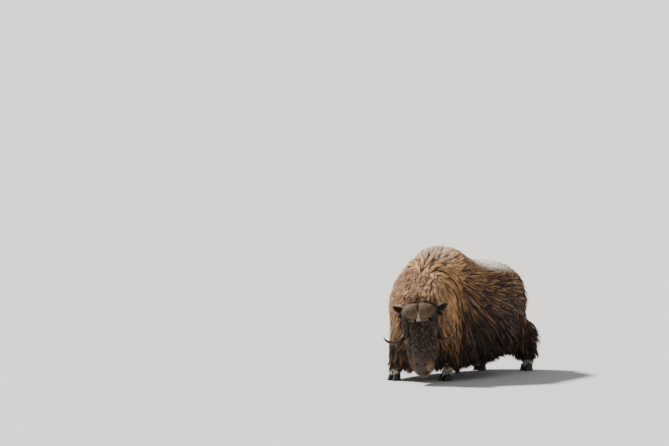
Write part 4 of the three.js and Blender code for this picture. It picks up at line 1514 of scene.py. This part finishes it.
class MUSKOX_OT_hooves(bpy.types.Operator):
    """Build the two claws of each hoof"""

    bl_idname = "muskox.hooves"
    bl_label = "Hooves"

    def execute(self, context):
        material = hoof_material(context.scene.muskox_parts)
        for name, (_, _, _, (x, y)) in LEGS.items():
            side = math.copysign(1, x)
            for label, way in (("inner", -side), ("outer", side)):
                node = f"{name.replace('leg', 'hoof')}_{label}"
                claw = closed_grid(claw_face(x, y, way), *GRIDS["claw"])
                piece = new_object(f"claw{node[4:]}", *claw)
                finish(piece, material, "hoof", node)
        return {"FINISHED"}


class MUSKOX_OT_trunk_coat(bpy.types.Operator):
    """Grow the long coat of the trunk, neck and throat"""

    bl_idname = "muskox.trunk_coat"
    bl_label = "Trunk Coat"

    def execute(self, context):
        grow_coats(context, TRUNK_SEED, {
            "coat_left": partial(trunk_guides, 1), "coat_right": partial(trunk_guides, -1),
            "coat_throat": throat_guides, "coat_nape": nape_guides, "coat_rump": rump_guides,
        })
        return {"FINISHED"}


class MUSKOX_OT_leg_coat(bpy.types.Operator):
    """Grow the hair of the legs, belly and tail"""

    bl_idname = "muskox.leg_coat"
    bl_label = "Leg Coat"

    def execute(self, context):
        grow_coats(context, LEG_SEED, {"coat_legs": leg_guides})
        return {"FINISHED"}


class MUSKOX_OT_head_coat(bpy.types.Operator):
    """Grow the short hair of the face, and the longer hair of the cheeks, poll and ears"""

    bl_idname = "muskox.head_coat"
    bl_label = "Head Coat"

    def execute(self, context):
        grow_coats(context, HEAD_SEED, {
            "coat_face": face_guides, "coat_ears": ear_guides, "coat_poll": groove_guides,
            "coat_cheeks": cheek_guides, "coat_crown": crown_guides,
        })
        return {"FINISHED"}


# The camera's directions, from the photograph: 42 degrees to the animal's left, 4.5 degrees up
CAMERA_AZIMUTH = 42.0
CAMERA_ELEVATION = 4.5
# Where the middle of the picture is from the floor below the hump, to the right and up, in metres
AIM_RIGHT = -1.028
AIM_UP = 1.469
SENSOR_WIDTH = 36.0
CAMERA_END = 1000.0
FLOOR_HALF = 200.0
# The fill light's strength as a part of the key light's, and how wide the two lights are, in
# degrees
FILL = 0.04
KEY_SOFTNESS, FILL_SOFTNESS = 7.0, 60.0
ROOM_LIGHT = 0.48


def aimed(context, piece, way):
    """Links a light or the camera, turned to face against a direction"""
    piece.rotation_euler = way.to_track_quat("Z", "Y").to_euler()
    context.scene.collection.objects.link(piece)


def sun(context, name, strength, origin, softness):
    data = bpy.data.lights.new(name, "SUN")
    data.energy, data.angle = strength, math.radians(softness)
    aimed(context, bpy.data.objects.new(name, data), origin)


class MUSKOX_OT_stage(bpy.types.Operator):
    """Lay the floor, set the lights and place the camera"""

    bl_idname = "muskox.stage"
    bl_label = "Stage"

    def execute(self, context):
        stage = context.scene.muskox_stage
        ways = ((-1, -1), (1, -1), (1, 1), (-1, 1))
        corners = [(x * FLOOR_HALF, y * FLOOR_HALF, 0) for x, y in ways]
        mesh = bpy.data.meshes.new("floor")
        mesh.from_pydata(corners, [], [(0, 1, 2, 3)])
        floor = linked(mesh)
        material, _, shader = new_material("Matt painted floor")
        set_node(shader, {"Base Color": (*stage.floor, 1), "Roughness": 0.9})
        mesh.materials.append(material)

        azimuth, elevation = math.radians(CAMERA_AZIMUTH), math.radians(CAMERA_ELEVATION)
        right = Vector((math.cos(azimuth), math.sin(azimuth), 0))
        towards = Vector((
            math.sin(azimuth) * math.cos(elevation),
            -math.cos(azimuth) * math.cos(elevation),
            math.sin(elevation),
        ))
        up = towards.cross(right)
        camera_data = bpy.data.cameras.new("camera")
        camera_data.sensor_width, camera_data.clip_end = SENSOR_WIDTH, CAMERA_END
        camera_data.lens = SENSOR_WIDTH * stage.distance / stage.frame_width
        camera = bpy.data.objects.new("camera", camera_data)
        below_hump = Vector(ORIGIN * MM)
        camera.location = below_hump + right * AIM_RIGHT + up * AIM_UP + towards * stage.distance
        aimed(context, camera, towards)
        context.scene.camera = camera

        # The key light comes from above, from the left of the picture and a little from behind
        key_way = -right * 0.75 - towards * 0.2 + up * 1.0
        sun(context, "key", stage.key, key_way, KEY_SOFTNESS)
        sun(context, "fill", stage.key * FILL, towards + right * 0.4 + up * 0.6, FILL_SOFTNESS)
        world = bpy.data.worlds.new("soft room")
        world.use_nodes = True
        background = world.node_tree.nodes["Background"]
        room = {"Color": (*linear("#EEF0F2"), 1), "Strength": ROOM_LIGHT}
        set_node(background, room)
        context.scene.world = world
        return {"FINISHED"}


class MUSKOX_PT_panel(bpy.types.Panel):
    bl_idname = "MUSKOX_PT_panel"
    bl_label = "Muskox Bull"
    bl_space_type = "VIEW_3D"
    bl_region_type = "UI"
    bl_category = "Muskox"

    def draw(self, context):
        for name, cls in SETTINGS.items():
            for setting in cls.__annotations__:
                self.layout.prop(getattr(context.scene, name), setting)
        for operator in OPERATORS:
            self.layout.operator(operator.bl_idname)


OPERATORS = (
    MUSKOX_OT_skin,
    MUSKOX_OT_eyes,
    MUSKOX_OT_horns,
    MUSKOX_OT_hooves,
    MUSKOX_OT_trunk_coat,
    MUSKOX_OT_leg_coat,
    MUSKOX_OT_head_coat,
    MUSKOX_OT_stage,
)
SETTINGS = {
    "muskox_coat": MUSKOX_PG_coat,
    "muskox_parts": MUSKOX_PG_parts,
    "muskox_stage": MUSKOX_PG_stage,
}
CLASSES = (*SETTINGS.values(), *OPERATORS, MUSKOX_PT_panel)


def register():
    for cls in CLASSES:
        bpy.utils.register_class(cls)
    for name, cls in SETTINGS.items():
        setattr(bpy.types.Scene, name, bpy.props.PointerProperty(type=cls))


def unregister():
    for name in SETTINGS:
        delattr(bpy.types.Scene, name)
    for cls in reversed(CLASSES):
        bpy.utils.unregister_class(cls)


def main():
    register()
    bpy.ops.muskox.skin()
    bpy.ops.muskox.eyes()
    bpy.ops.muskox.horns()
    bpy.ops.muskox.hooves()
    bpy.ops.muskox.trunk_coat()
    bpy.ops.muskox.leg_coat()
    bpy.ops.muskox.head_coat()
    bpy.ops.muskox.stage()


if __name__ == "__main__":
    main()
